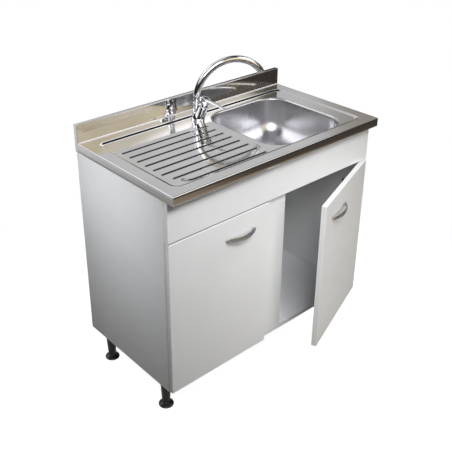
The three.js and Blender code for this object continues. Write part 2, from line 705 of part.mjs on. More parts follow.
function makeTapBody() {
  const foot = tapDeck + SEAT + TAP_RING + SEAT;
  makeTapRing();
  const baseR = TAP_BASE / 2;
  const plinth = turned([
    [0, foot], [baseR, foot], [baseR, foot + TAP_BAND],
    [baseR - TAP_FLARE.in, foot + TAP_FLARE.height], [baseR - TAP_WAIST.in, foot + TAP_WAIST.height],
    [0, foot + TAP_WAIST.height],
  ], 28);
  const socketTop = tapDeck + SPOUT_SOCKET_TOP;
  const socket = disc(SPOUT_SOCKET / 2, foot + PAST, socketTop, 24);
  const housingR = CARTRIDGE_HOUSING / 2;
  const housing = turned([
    [0, HOUSING_CONE.start], [housingR - HOUSING_CONE.in, HOUSING_CONE.start],
    [housingR, HOUSING_CONE.end], [housingR, CARTRIDGE_LENGTH - TOP_EASE],
    [housingR - TOP_EASE, CARTRIDGE_LENGTH], [0, CARTRIDGE_LENGTH],
  ], 28);
  const below = block(tapX - TAP_BASE, tapX + TAP_BASE, tapY - TAP_BASE * 2, tapY + TAP_BASE,
    foot - TAP_BASE, foot);
  const socketBore = disc(spigotRadius + RUN, socketTop - SPIGOT_LENGTH - 2 * PAST, socketTop + 5 * PAST, 24);
  const cartridgeBore = disc(CARTRIDGE_BORE / 2 + RUN, CARTRIDGE_LENGTH - CARTRIDGE_DEPTH,
    CARTRIDGE_LENGTH + 5 * PAST, 24);
  const bodyForm = join(atTap(plinth), atSpout(socket), onCartridge(housing));
  place('tap_body', cut(bodyForm, below, atSpout(socketBore), onCartridge(cartridgeBore)), chrome);
}

function makeTapRing() {
  const low = tapDeck + SEAT;
  const high = low + TAP_RING;
  const outer = TAP_BASE / 2 + TAP_RING_OUT;
  const inner = SHANK / 2 + RUN;
  const base = turned([
    [inner, low], [outer, low], [outer, low + TAP_RING / 2], [outer - SHOULDER, high], [inner, high],
    [inner, low],
  ], 32);
  place('tap_base_ring', atTap(base), chrome);
}

function makeCartridge() {
  const foot = CARTRIDGE_LENGTH - CARTRIDGE_DEPTH + SEAT;
  const top = CARTRIDGE_LENGTH + CARTRIDGE_PROUD;
  const wellFloor = top - CARTRIDGE_WELL.depth;
  const r = CARTRIDGE_BORE / 2;
  const cavity = SPINDLE / 2 + CARTRIDGE_WELL.margin;
  const cartridge = turned([
    [0, foot], [r, foot], [r, top], [cavity, top], [cavity, wellFloor], [0, wellFloor],
  ]);
  place('cartridge', onCartridge(cartridge), whitePlastic);
  makeCartridgeNut(top + SEAT);
  makeSpindle(wellFloor);
}

// The nut that holds the cartridge down; its crown is round about the lift pivot.
function makeCartridgeNut(foot) {
  const inner = NUT_MOUTH / 2;
  const r = LEVER_DOME / 2 - DOME_GAP;
  const onBall = (height) => [Math.sqrt(r ** 2 - height ** 2), liftPivot + height];
  const capNut = turned([
    [inner, foot], onBall(foot - liftPivot), onBall(-0.5), onBall(4), onBall(NUT_CROWN),
    [inner, liftPivot + NUT_CROWN], [inner, foot],
  ], 28);
  place('cartridge_nut', onCartridge(capNut), chrome);
}

// The spindle stands in the cartridge's well and ends in the ball that the lever turns on.
function makeSpindle(wellFloor) {
  const ball = SPINDLE / 2;
  const neck = ball * SPINDLE_NECK;
  const flange = ball + SPINDLE_FLANGE.out;
  const flangeTop = wellFloor + SPINDLE_FLANGE.height;
  const spindle = turned([
    [0, wellFloor + SEAT], [flange, wellFloor + SEAT], [flange, flangeTop],
    [neck, flangeTop + SPINDLE_FLANGE.cone],
    [neck, liftPivot - Math.sqrt(ball ** 2 - neck ** 2)], [ball * COS_30, liftPivot - ball / 2],
    [ball, liftPivot], [ball * COS_30, liftPivot + ball / 2], [ball / 2, liftPivot + ball * COS_30],
    [0, liftPivot + ball],
  ], 16);
  place('cartridge_spindle', onCartridge(spindle), brass);
}

// The lever's head is a dome round the ball at the spindle's top, on which it is lifted; its
// blade runs level to the front.
function makeLever() {
  const r = LEVER_HEAD / 2;
  const rim = liftPivot + HEAD_RIM;
  const inner = LEVER_DOME / 2;
  const crown = liftPivot + inner + HEAD_WALL;
  const dome = turned([
    [0, rim], [r - HEAD_EASE, rim], [r, rim + HEAD_EASE],
    ...HEAD_CURVE.map(({ out, down }) => [r * out, crown - HEAD_SHOULDER * down]), [0, crown],
  ], 28);
  const hollow = [[0, liftPivot - inner], [inner, liftPivot - inner]];
  const steps = 6;
  for (let i = 0; i <= steps; i += 1) {
    const angle = (i / steps) * (Math.PI / 2);
    hollow.push([inner * Math.cos(angle), liftPivot + inner * Math.sin(angle)]);
  }
  hollow[hollow.length - 1][0] = 0;
  const blade = leverBlade(crown - BLADE_DROP);
  const shell = cut(join(onCartridge(dome), loftAlong(blade)), onCartridge(turned(hollow, 28)));
  place('lever', join(shell, onCartridge(leverBoss(crown))), chrome);
}

// The boss under the crown, with the socket that turns on the spindle's ball.
function leverBoss(crown) {
  const socket = SPINDLE / 2 + RUN;
  const mouth = liftPivot - SOCKET_LIP;
  return turned([
    [socket, mouth], [BOSS / 2, mouth], [BOSS / 2, crown - 1], [0, crown - 1],
    [0, liftPivot + socket], [socket / 2, liftPivot + socket * COS_30],
    [socket * COS_30, liftPivot + socket / 2], [socket, liftPivot], [socket, mouth],
  ], 16);
}

// Rings along the blade, from inside the head to the tip.
function leverBlade(rootHeight) {
  const up = new THREE.Vector3(0, -Math.sin(lean), Math.cos(lean));
  const centre = housingFoot.clone().addScaledVector(up, rootHeight);
  const rings = [];
  const stations = 8;
  for (let i = 0; i <= stations; i += 1) {
    const t = i / stations;
    const y = centre.y - t * LEVER_REACH;
    const half = THREE.MathUtils.lerp(LEVER_ROOT / 2, LEVER_TIP / 2, Math.sqrt(t));
    const thick = THREE.MathUtils.lerp(LEVER_THICKNESS.root, LEVER_THICKNESS.tip, t);
    const z = centre.z + LEVER_ARCH * Math.sin(t * Math.PI) - LEVER_FALL * t;
    rings.push(bladeRing(centre.x, y, z, half, thick));
  }
  return rings;
}

// A flattened oval across the lever's blade, in the plane square to Y.
function bladeRing(x, y, z, half, thick) {
  const points = [];
  const sides = 12;
  for (let i = 0; i < sides; i += 1) {
    const angle = (i / sides) * Math.PI * 2;
    const squeeze = Math.sign(Math.sin(angle)) * Math.abs(Math.sin(angle)) ** SQUARENESS;
    points.push([x + half * Math.cos(angle), y, z + (thick / 2) * squeeze]);
  }
  return points;
}

// A solid through rings listed anticlockwise as seen from the side they advance to, with fan caps.
function loftAlong(rings) {
  const count = rings[0].length;
  const positions = rings.flat(2);
  const index = [];
  for (let k = 0; k < rings.length - 1; k += 1) {
    for (let i = 0; i < count; i += 1) {
      const a = k * count + i;
      const b = k * count + ((i + 1) % count);
      index.push(a, b, b + count, a, b + count, a + count);
    }
  }
  const last = (rings.length - 1) * count;
  for (let i = 1; i < count - 1; i += 1) {
    index.push(0, i + 1, i);
    index.push(last, last + i, last + i + 1);
  }
  const geometry = new THREE.BufferGeometry();
  geometry.setAttribute('position', new THREE.Float32BufferAttribute(positions, 3));
  geometry.setIndex(index);
  return geometry;
}

// The swan neck: a straight riser and a plain circular bend in one upright plane.
class SwanNeck extends THREE.Curve {
  getPoint(t, target = new THREE.Vector3()) {
    const sweep = THREE.MathUtils.degToRad(SPOUT_SWEEP);
    const arc = SPOUT_BEND * sweep;
    const along = t * (SPOUT_RISER + arc);
    if (along < SPOUT_RISER) return target.set(0, 0, collarTop + SEAT + along);
    const a = (along - SPOUT_RISER) / SPOUT_BEND;
    const out = SPOUT_BEND * (1 - Math.cos(a));
    return target.set(out, 0, bendStart + SEAT + SPOUT_BEND * Math.sin(a));
  }
}

function makeSpout() {
  const section = new THREE.Shape().absarc(0, 0, SPOUT_TUBE / 2, 0, Math.PI * 2, false);
  const neck = new THREE.ExtrudeGeometry(section, {
    steps: 26,
    curveSegments: 11,
    extrudePath: new SwanNeck(),
  });
  const riserFoot = collarTop + SEAT;
  const tubeFoot = tapDeck + SPOUT_SOCKET_TOP - SPIGOT_LENGTH;
  const spigot = disc(spigotRadius, tubeFoot, riserFoot + 3 * PAST, 16);
  const sweep = THREE.MathUtils.degToRad(SPOUT_SWEEP);
  const mouth = new THREE.Matrix4().makeRotationY(sweep);
  mouth.setPosition(SPOUT_BEND * (1 - Math.cos(sweep)), 0,
    bendStart + SEAT + SPOUT_BEND * Math.sin(sweep));
  const mouthBore = disc(SPOUT_BORE / 2, -MOUTH_DEPTH, 4 * PAST, 16).applyMatrix4(mouth);
  const heading = THREE.MathUtils.degToRad(SPOUT_HEADING);
  const pose = (geometry) => atSpout(geometry.rotateZ(heading));
  place('spout', pose(cut(join(neck, spigot), mouthBore)), chrome);

  place('aerator', pose(aeratorForm().applyMatrix4(mouth)), chrome);
  makeCollar();
}

function aeratorForm() {
  const inner = SPOUT_BORE / 2 - RUN;
  const outer = AERATOR / 2;
  const face = outer - AERATOR_FACE;
  return turned([
    [0, -AERATOR_SPIGOT], [inner, -AERATOR_SPIGOT], [inner, SEAT], [outer + 1, SEAT],
    [outer + 1, AERATOR_BAND], [outer, AERATOR_LENGTH], [face, AERATOR_LENGTH],
    [face, AERATOR_LENGTH - AERATOR_FACE], [0, AERATOR_LENGTH - AERATOR_FACE],
  ], 20);
}

function makeCollar() {
  const inner = spigotRadius + RUN;
  const outer = SPOUT_SOCKET / 2 + 0.5;
  const collar = turned([
    [inner, collarBottom], [outer, collarBottom], [outer, collarBottom + COLLAR_HEIGHT * 0.6],
    [outer - SHOULDER, collarTop], [inner, collarTop], [inner, collarBottom],
  ], 24);
  place('spout_collar', atSpout(collar), chrome);
}

// Below the deck: a threaded shank, a rubber washer, a steel washer and a back nut.
function makeTapFixing() {
  const under = deck - SHEET - SEAT;
  const shankTop = tapDeck + SEAT + TAP_RING;
  place('tap_shank', atTap(ring(SHANK_BORE / 2, SHANK / 2, shankTop - SHANK_LENGTH, shankTop)), brass);
  const washIn = SHANK / 2 + RUN;
  const outer = TAP_NUT / 2;
  place('tap_rubber_washer', atTap(ring(washIn, outer, under - GASKET, under)), rubber);
  const plateTop = under - GASKET - SEAT;
  place('tap_steel_washer', atTap(ring(washIn, outer - 1, plateTop - WASHER, plateTop)), zinc);
  const nutTop = plateTop - WASHER - SEAT;
  const hex = new THREE.CylinderGeometry(outer - 3, outer - 3, TAP_NUT_HEIGHT, 6);
  hex.rotateX(Math.PI / 2).translate(0, 0, nutTop - TAP_NUT_HEIGHT / 2);
  const nutBore = disc(washIn, nutTop - TAP_NUT_HEIGHT - PAST, nutTop + PAST);
  place('tap_back_nut', atTap(cut(hex, nutBore)), brass);
}

// ---------------------------------------------------------------- cabinet
const backGroove = (x0, x1, z0, z1) =>
  block(x0, x1, backFace - BACK_BOARD - RUN, backFace + RUN, z0, z1);

function makeCarcass() {
  const grooveFoot = floorTop - BACK_GROOVE;
  const grooveTop = BACK_TOP + SEAT;
  for (const [side, name] of [[-1, 'side_panel_left'], [1, 'side_panel_right']]) {
    const x0 = Math.min(side * innerX, side * carcassX);
    const board = block(x0, x0 + BOARD, carcassFront, carcassBack, LEG_HEIGHT, carcassTop);
    const deep = side * (innerX + BACK_GROOVE);
    const lap = side * (innerX - 1);
    const groove = backGroove(Math.min(lap, deep), Math.max(lap, deep), grooveFoot, grooveTop);
    place(name, cut(board, groove), melamine);
  }
  const span = innerX - SEAT;
  const floor = block(-span, span, carcassFront, carcassBack, LEG_HEIGHT, floorTop);
  const floorGroove = backGroove(-span - 1, span + 1, grooveFoot, floorTop + 1);
  place('bottom_panel', cut(floor, floorGroove), innerBoard);

  const backX = innerX + BACK_GROOVE - SEAT;
  place('back_panel', block(-backX, backX, backFace - BACK_BOARD, backFace, grooveFoot + SEAT, BACK_TOP),
    hardboard);
  const rearTop = carcassTop;
  place('rear_rail', block(-span, span, carcassBack - BOARD, carcassBack, rearTop - REAR_RAIL_HEIGHT,
    rearTop), innerBoard);
  const railFoot = fasciaBottom + 1;
  place('front_rail', block(-span, span, carcassFront, carcassFront + BOARD, railFoot,
    railFoot + RAIL_HEIGHT), innerBoard);
  place('centre_stile', block(-STILE_WIDTH / 2, STILE_WIDTH / 2, carcassFront, carcassFront + BOARD,
    floorTop + SEAT, railFoot - SEAT), melamine);

  const fascia = easedFront(2 * carcassX, TOP_HEIGHT - FASCIA_DROP - fasciaBottom, FRONT_BOARD, DOOR_EASE);
  fascia.translate(-carcassX, carcassFront - SEAT - FRONT_BOARD, fasciaBottom);
  place('front_fascia', fascia, melamine);
}

// ---------------------------------------------------------------- doors
// Each door is drawn shut against its own pivot line: X runs from the hinged edge to the free
// edge as seen from the front (side is -1 for the left-hand door), Y is the wall side.
function doorGroup(side) {
  const group = new THREE.Group();
  group.position.set(side * carcassX, doorFront, 0);
  group.rotation.z = side > 0 ? ajar : 0;
  unit.add(group);
  return group;
}

function makeDoor(side, name) {
  const group = doorGroup(side);
  const board = easedFront(doorWidth, DOOR_HEIGHT, FRONT_BOARD, DOOR_EASE);
  board.translate(side > 0 ? -doorWidth : 0, 0, doorBottom);
  const cupX = -side * CUP_EDGE;
  const bores = Object.values(hingeHeights).map((z) =>
    disc(CUP / 2 + RUN, -CUP_DEPTH - 2 * SEAT, 1, 24).rotateX(-Math.PI / 2)
      .translate(cupX, FRONT_BOARD, z)
  );
  place(`door_${name}`, cut(board, ...bores), melamine, group);
  makeHandle(side, name, group);
  for (const [level, z] of Object.entries(hingeHeights)) makeHingeCup(side, name, level, z, group);
}

// How far the bow's centre line stands off the door, along -1 to 1 of its half length.
const bowOut = (s) => HANDLE_THICKNESS / 2 + (HANDLE_BOW - HANDLE_THICKNESS) * (1 - s * s);

// A horizontal bow handle: an arched band with rounded ends, on two short posts.
function makeHandle(side, name, group) {
  const z = doorTop - HANDLE_DROP;
  const middle = -side * (doorWidth - HANDLE_EDGE - HANDLE_LENGTH / 2);
  const half = HANDLE_LENGTH / 2;
  const tipStart = 1 - HANDLE_TIP / half;
  const stations = [];
  const steps = 8;
  const tipSteps = 4;
  for (let i = tipSteps; i > 0; i -= 1) {
    stations.push(-tipStart - (1 - tipStart) * Math.sin((i / (tipSteps + HANDLE_BLUNT)) * (Math.PI / 2)));
  }
  for (let i = 0; i <= steps; i += 1) stations.push(-tipStart + (2 * tipStart * i) / steps);
  for (let i = 1; i <= tipSteps; i += 1) {
    stations.push(tipStart + (1 - tipStart) * Math.sin((i / (tipSteps + HANDLE_BLUNT)) * (Math.PI / 2)));
  }
  const rings = stations.map((s) => handleRing(s, half, tipStart));
  const postX = half * tipStart;
  const post = (x) => disc(HANDLE_POST / 2, 0, bowOut(tipStart), 16)
    .rotateX(Math.PI / 2).translate(x, 0, 0);
  const handle = join(loftAlong(rings), post(-postX), post(postX));
  place(`handle_${name}`, handle.translate(middle, -SEAT, z), satinChrome, group);
}

// A flattened oval across the bow, square to its slope in the plane of X and Y.
function handleRing(s, half, tipStart) {
  const slope = Math.atan((-2 * (HANDLE_BOW - HANDLE_THICKNESS) * s) / half);
  const end = Math.max(Math.abs(s) - tipStart, 0) / (1 - tipStart);
  const shrink = Math.sqrt(1 - end * end);
  const wide = ((HANDLE_WIDTH - HANDLE_TAPER * s * s) / 2) * shrink;
  const thick = (HANDLE_THICKNESS / 2) * THREE.MathUtils.lerp(HANDLE_EDGE_SHARE, 1, shrink);
  const points = [];
  const sides = 12;
  for (let i = 0; i < sides; i += 1) {
    const angle = (i / sides) * Math.PI * 2;
    const across = thick * Math.cos(angle);
    points.push([
      half * s - across * Math.sin(slope),
      -(bowOut(s) + across * Math.cos(slope)),
      -wide * Math.sin(angle),
    ]);
  }
  return points;
}

// A bored-in hinge cup with two screw wings, and the short gooseneck link that stands in its well.
function makeHingeCup(side, name, level, z, group) {
  const r = CUP / 2;
  const floor = -CUP_DEPTH;
  const inner = r - CUP_SHEET;
  const well = turned([
    [0, floor], [inner, floor], [r, floor + CUP_FOOT], [r, SEAT], [inner, SEAT],
    [inner, floor + CUP_FOOT + CUP_SHEET], [inner - CUP_SHEET, floor + CUP_SHEET], [0, floor + CUP_SHEET],
  ], 18);
  const lip = disc(r + CUP_LIP, SEAT, SEAT + CUP_SHEET, 18);
  const mouth = disc(inner, 0, 3 * PAST, 18);
  const shell = cut(join(well, screwWings(), lip), mouth);
  const hinge = join(shell.rotateX(-Math.PI / 2), linkForm(side));
  place(`hinge_cup_${name}_${level}`, hinge.translate(-side * CUP_EDGE, FRONT_BOARD, z), nickel, group);
}

// The cup's two round-ended wings, one above it and one below.
function screwWings() {
  const end = CUP_WING_WIDTH / 2;
  const tip = CUP_WINGS / 2 - end;
  const shape = new THREE.Shape();
  shape.absarc(tip, 0, end, -Math.PI / 2, Math.PI / 2, false);
  shape.absarc(-tip, 0, end, Math.PI / 2, (Math.PI * 3) / 2, false);
  shape.closePath();
  const plate = { depth: CUP_SHEET, bevelEnabled: false, curveSegments: 6 };
  return new THREE.ExtrudeGeometry(shape, plate).translate(0, 0, SEAT).rotateZ(Math.PI / 2);
}

// A point at an angle round the door's turning line, measured from the plane of the shut door.
function roundPivot(side, radius, degrees) {
  const angle = THREE.MathUtils.degToRad(degrees);
  return [-side * radius * Math.cos(angle), radius * Math.sin(angle)];
}

// The link: a bent strip from the cup's floor, out of its mouth to a tip that stays a running
// clearance inside the track on the arm, all the way round.
function linkForm(side) {
  const root = FRONT_BOARD - CUP_DEPTH + CUP_SHEET / 2;
  const mouth = FRONT_BOARD + 0.5;
  const bend = mouth + LINK_BEND;
  const reach = HINGE_TRACK - RUN;
  const near = LINK_EDGE;
  const far = near + LINK_THICKNESS;
  const lean = LINK_THICKNESS * 1.5; // sideways, from the mouth to the bend
  const shape = new THREE.Shape();
  const corner = (x, y) => shape.lineTo(-side * x, y);
  shape.moveTo(-side * (near - LINK_RAKE), root);
  corner(near, mouth);
  corner(near + lean, bend);
  for (const share of [1, 0.5, 0]) {
    shape.lineTo(...roundPivot(side, reach, LINK_TIP + LINK_TIP_SPAN * share));
  }
  corner(far + lean + 1, bend - LINK_BEND_DROP);
  corner(far, mouth);
  corner(far - LINK_RAKE, root);
  shape.closePath();
  const strip = new THREE.ExtrudeGeometry(shape, { depth: LINK_WIDTH, bevelEnabled: false });
  return strip.translate(side * CUP_EDGE, -FRONT_BOARD, -LINK_WIDTH / 2);
}

// The track: a curved nose on the arm, centred on the door's turning line.
function trackForm(side) {
  const shape = new THREE.Shape();
  const steps = 5;
  const turn = (i) => TRACK_START + (i / steps) * TRACK_SPAN;
  shape.moveTo(...roundPivot(side, HINGE_TRACK, turn(0)));
  for (let i = 1; i <= steps; i += 1) shape.lineTo(...roundPivot(side, HINGE_TRACK, turn(i)));
  for (let i = steps; i >= 0; i -= 1) {
    shape.lineTo(...roundPivot(side, HINGE_TRACK + TRACK_THICKNESS, turn(i)));
  }
  shape.closePath();
  const nose = new THREE.ExtrudeGeometry(shape, { depth: ARM_WIDTH, bevelEnabled: false });
  return nose.translate(side * carcassX, doorFront, -ARM_WIDTH / 2);
}

// The arm is a channel, open away from the side board, on a cross-shaped mounting plate.
function makeHingeArm(side, name, level, z) {
  const wallX = side * (innerX - SEAT);
  const inner = wallX - side * PLATE_THICKNESS;
  const plateY = carcassFront + PLATE_START + PLATE_LENGTH / 2;
  place(`hinge_plate_${name}_${level}`, crossPlate(side).translate(inner, plateY, z), nickel);

  const y0 = carcassFront + ARM_NOSE;
  const y1 = carcassFront + ARM_START + ARM_LENGTH;
  const baseX = inner - side * SEAT;
  const openX = baseX - side * ARM_HEIGHT;
  const half = ARM_WIDTH / 2;
  const span = (p, q) => [Math.min(p, q), Math.max(p, q)];
  const outer = block(...span(baseX, openX), y0, y1, z - half, z + half);
  const channel = block(...span(baseX - side * ARM_SHEET, openX - side * PAST), y0 - PAST, y1 - ARM_SHEET,
    z - half + ARM_SHEET, z + half - ARM_SHEET);
  const swing = disc(HINGE_TRACK, -ARM_WIDTH, ARM_WIDTH, 72)
    .translate(side * carcassX, doorFront, z);
  const nose = trackForm(side).translate(0, 0, z);
  place(`hinge_arm_${name}_${level}`, join(cut(outer, channel, swing), nose), nickel);
}

// A cross with its long bar along Y; its thickness runs along X, from the side board inwards.
function crossPlate(side) {
  const a = PLATE_LENGTH / 2;
  const b = PLATE_SPAN / 2;
  const c = PLATE_CROSS / 2;
  const w = PLATE_TONGUE / 2;
  const outline = [[-a, -w], [-c, -w], [-c, -b], [c, -b], [c, -w], [a, -w], [a, w], [c, w], [c, b],
    [-c, b], [-c, w], [-a, w]];
  const shape = new THREE.Shape(outline.map(([y, h]) => new THREE.Vector2(y, h)));
  const plate = new THREE.ExtrudeGeometry(shape, { depth: PLATE_THICKNESS, bevelEnabled: false });
  const facing = new THREE.Matrix4().makeBasis(
    new THREE.Vector3(0, side, 0),
    new THREE.Vector3(0, 0, 1),
    new THREE.Vector3(side, 0, 0)
  );
  return plate.applyMatrix4(facing);
}

// Small round pads on the stile keep each closed door off the carcass.
function makeBumpers() {
  const height = DOOR_STANDOFF - 2 * SEAT;
  for (const [side, name] of [[-1, 'left'], [1, 'right']]) {
    const x = side * (STILE_WIDTH / 2 - BUMPER / 2 - BUMPER_EDGE);
    for (const [level, z] of [['lower', doorBottom + BUMPER_END], ['upper', doorTop - BUMPER_END]]) {
      const pad = turned([[0, 0], [BUMPER / 2, 0], [BUMPER / 2 - BUMPER_EASE, height], [0, height]], 12);
      pad.rotateX(Math.PI / 2).translate(x, carcassFront - SEAT, z);
      place(`bumper_${name}_${level}`, pad, clearFelt);
    }
  }
}

// ---------------------------------------------------------------- legs
function makeLeg(x, y, name) {
  const top = LEG_HEIGHT - SEAT;
  const flangeFoot = top - LEG_FLANGE_THICKNESS;
  const flange = LEG_FLANGE / 2;
  const bore = STUD / 2 + RUN;
  const ankle = FOOT_NECK_TOP + SEAT;
  const boreTop = FOOT_NECK_TOP + STUD_LENGTH + STUD_ROOM;
  const leg = turned([
    [bore, ankle], [LEG_ANKLE / 2, ankle], [LEG_TOP / 2, flangeFoot - LEG_COLLAR.height],
    [LEG_TOP / 2 + LEG_COLLAR.out, flangeFoot], [flange, flangeFoot], [flange, top], [0, top],
    [0, boreTop], [bore, boreTop], [bore, ankle],
  ], 16);
  place(`leg_${name}`, leg.translate(x, y, 0), blackPlastic);
  makeFoot(x, y, name);
}

// A round foot on the screwed stud that sets its height.
function makeFoot(x, y, name) {
  const neck = FOOT_NECK / 2;
  const r = FOOT / 2;
  const stud = STUD / 2;
  const studTop = FOOT_NECK_TOP + STUD_LENGTH;
  const foot = turned([
    [0, 0], [r - FOOT_RIM.ease, 0], [r, FOOT_RIM.low], [r - FOOT_RIM.in, FOOT_RIM.high],
    [r - FOOT_DISH.in, FOOT_HEIGHT - FOOT_DISH.drop], [neck + FOOT_DISH.out, FOOT_HEIGHT - 1],
    [neck, FOOT_HEIGHT + 1], [neck, FOOT_NECK_TOP], [stud, FOOT_NECK_TOP], [stud, studTop], [0, studTop],
  ], 16);
  place(`foot_${name}`, foot.translate(x, y, 0), blackPlastic);
}

function makeLegs() {
  const x = carcassX - LEG_SIDE;
  const front = carcassFront + LEG_FRONT;
  const back = carcassBack - LEG_BACK;
  for (const [side, hand] of [[-1, 'left'], [1, 'right']]) {
    makeLeg(side * x, front, `front_${hand}`);
    makeLeg(side * x, back, `back_${hand}`);
  }
}

// ---------------------------------------------------------------- the whole unit
makeWorktop();
makeWaste();
makeTapBody();
makeCartridge();
makeLever();
makeSpout();
makeTapFixing();
makeCarcass();
for (const [side, name] of [[-1, 'left'], [1, 'right']]) {
  makeDoor(side, name);
  for (const [level, z] of Object.entries(hingeHeights)) makeHingeArm(side, name, level, z);
}
makeBumpers();
makeLegs();

// The footprint runs from the ajar door's free corner to the worktop's back.
const footprintFront = doorFront - (doorWidth - DOOR_EASE) * Math.sin(ajar);
unit.position.y = -(footprintFront + topBack) / 2;

export default unit;
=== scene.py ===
import json
import math

import bmesh
import bpy
from mathutils import Matrix, Vector


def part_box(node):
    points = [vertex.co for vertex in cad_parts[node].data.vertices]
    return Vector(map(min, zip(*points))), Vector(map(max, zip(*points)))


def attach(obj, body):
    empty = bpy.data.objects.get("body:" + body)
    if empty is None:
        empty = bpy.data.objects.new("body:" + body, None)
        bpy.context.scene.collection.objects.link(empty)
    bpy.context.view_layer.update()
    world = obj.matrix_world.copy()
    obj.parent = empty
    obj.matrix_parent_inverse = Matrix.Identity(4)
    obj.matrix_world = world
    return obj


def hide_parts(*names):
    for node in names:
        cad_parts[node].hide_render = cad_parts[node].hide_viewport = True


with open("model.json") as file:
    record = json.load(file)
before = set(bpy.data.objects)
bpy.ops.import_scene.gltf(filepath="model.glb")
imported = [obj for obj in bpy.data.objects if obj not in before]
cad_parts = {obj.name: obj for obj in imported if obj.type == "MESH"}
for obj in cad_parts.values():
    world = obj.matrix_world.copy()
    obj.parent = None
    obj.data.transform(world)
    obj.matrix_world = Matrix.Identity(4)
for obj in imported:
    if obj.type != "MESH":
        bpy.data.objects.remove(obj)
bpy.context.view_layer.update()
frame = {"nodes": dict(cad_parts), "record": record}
nodes = frame["nodes"]

# ---------------------------------------------------------------- where things are
# Lengths are in millimetres up to the point where at() or MM turns them into metres.
MM = 0.001
HALF_WIDTH, HALF_DEPTH = 450.0, 250.0  # of the worktop
TOP_Z, DECK_Z = 850.0, 846.0  # its raised border and its sunk deck
SKIRT_FOOT = 820.0  # the lower edge of its folded lip
UPSTAND_FACE, UPSTAND_TOP = 233.0, 912.0
_, top_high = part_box("sink_top")
SHIFT_Y = top_high.y - HALF_DEPTH * MM  # the frame's y at the middle of the worktop


def at(x, y, z):
    """A point in the frame, given in millimetres about the middle of the worktop."""
    return Vector((x * MM, y * MM + SHIFT_Y, z * MM))


def placed(x, y, z=0.0):
    return Matrix.Translation(at(x, y, z))


# ---------------------------------------------------------------- mesh tools
FILLET_STEPS = 5
FILLET_SHARE = 0.49  # a fillet takes at most this share of the edges beside it


def new_object(name, mesh, body, slot, *replaced):
    obj = bpy.data.objects.new(name, mesh)
    bpy.context.scene.collection.objects.link(obj)
    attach(obj, body)
    if replaced:
        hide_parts(*replaced)
    return obj


def dress(obj, *materials):
    for material in materials:
        obj.data.materials.append(material)
    return obj


def mesh_from(name, verts, faces, smooth=True):
    mesh = bpy.data.meshes.new(name)
    mesh.from_pydata([tuple(v) for v in verts], [], faces)
    mesh.validate()
    for p in mesh.polygons:
        p.use_smooth = smooth
    return mesh


def rings_mesh(rings, cap_start=False, cap_end=False, closed=True):
    """Quads between rings of equal length, as (vertices, faces)."""
    n = len(rings[0])
    verts = [v for ring in rings for v in ring]
    faces = []
    last = n if closed else n - 1
    for k in range(len(rings) - 1):
        for i in range(last):
            a, b = k * n + i, k * n + (i + 1) % n
            faces.append((a, b, b + n, a + n))
    if cap_start:
        faces.append(tuple(reversed(range(n))))
    if cap_end:
        faces.append(tuple(range((len(rings) - 1) * n, len(rings) * n)))
    return verts, faces


class Builder:
    """Collects several sheets of mesh, each with a material index, into one mesh."""

    def __init__(self):
        self.verts, self.faces, self.slots = [], [], []

    def add(self, verts, faces, slot=0):
        base = len(self.verts)
        self.verts += [tuple(v) for v in verts]
        self.faces += [tuple(base + i for i in f) for f in faces]
        self.slots += [slot] * len(faces)

    def add_turned_over(self, rings, slot=0, closed=True):
        """Adds a sheet whose rings run the other way round, facing outward."""
        verts, faces = rings_mesh(rings, closed=closed)
        self.add(verts, [tuple(reversed(f)) for f in faces], slot)

    def mesh(self, name):
        mesh = mesh_from(name, self.verts, self.faces)
        mesh.polygons.foreach_set("material_index", self.slots)
        return mesh


def fillet_profile(points):
    """A fine profile with rounded corners from (radius, z, fillet) corners."""
    fine = []
    for i, (r, z, f) in enumerate(points):
        here = Vector((r, z))
        if f <= 0 or i in (0, len(points) - 1):
            fine.append(here)
            continue
        before = Vector(points[i - 1][:2]) - here
        after = Vector(points[i + 1][:2]) - here
        cut = min(f, before.length * FILLET_SHARE, after.length * FILLET_SHARE)
        a, b = here + before.normalized() * cut, here + after.normalized() * cut
        for k in range(FILLET_STEPS + 1):
            t = k / FILLET_STEPS
            fine.append((1 - t) ** 2 * a + 2 * t * (1 - t) * here + t * t * b)
    return fine


def lathe(points, matrix, sides=48):
    """A surface turned about +Z from (radius, z, fillet) corners, then placed."""
    rings = []
    for p in fillet_profile(points):
        ring = []
        for i in range(sides):
            a = 2 * math.pi * i / sides
            point = Vector((p.x * math.cos(a) * MM, p.x * math.sin(a) * MM, p.y * MM))
            ring.append(matrix @ point)
        rings.append(ring)
    return rings_mesh(rings)


def turned_piece(name, corners, matrix, body, slot, material, replaced, sides=56):
    verts, faces = lathe(corners, matrix, sides)
    return dress(new_object(name, mesh_from(name, verts, faces), body, slot, replaced), material)


def sweep(path, section, up):
    """Rings of section points (side and up offsets in metres) along a path of Vectors."""
    rings = []
    for i, p in enumerate(path):
        ahead = path[min(i + 1, len(path) - 1)] - path[max(i - 1, 0)]
        t = ahead.normalized()
        side = t.cross(up).normalized()
        over = side.cross(t).normalized()
        shape = section(i / (len(path) - 1))
        rings.append([p + side * s + over * o for s, o in shape])
    return rings


def modified(obj, *mods):
    """Applies modifiers, given as (type, settings), to the object's mesh."""
    for kind, settings in mods:
        modifier = obj.modifiers.new(kind.lower(), kind)
        for key, value in settings.items():
            setattr(modifier, key, value)
    graph = bpy.context.evaluated_depsgraph_get()
    mesh = bpy.data.meshes.new_from_object(obj.evaluated_get(graph))
    obj.modifiers.clear()
    obj.data = mesh
    for p in mesh.polygons:
        p.use_smooth = True
    return obj


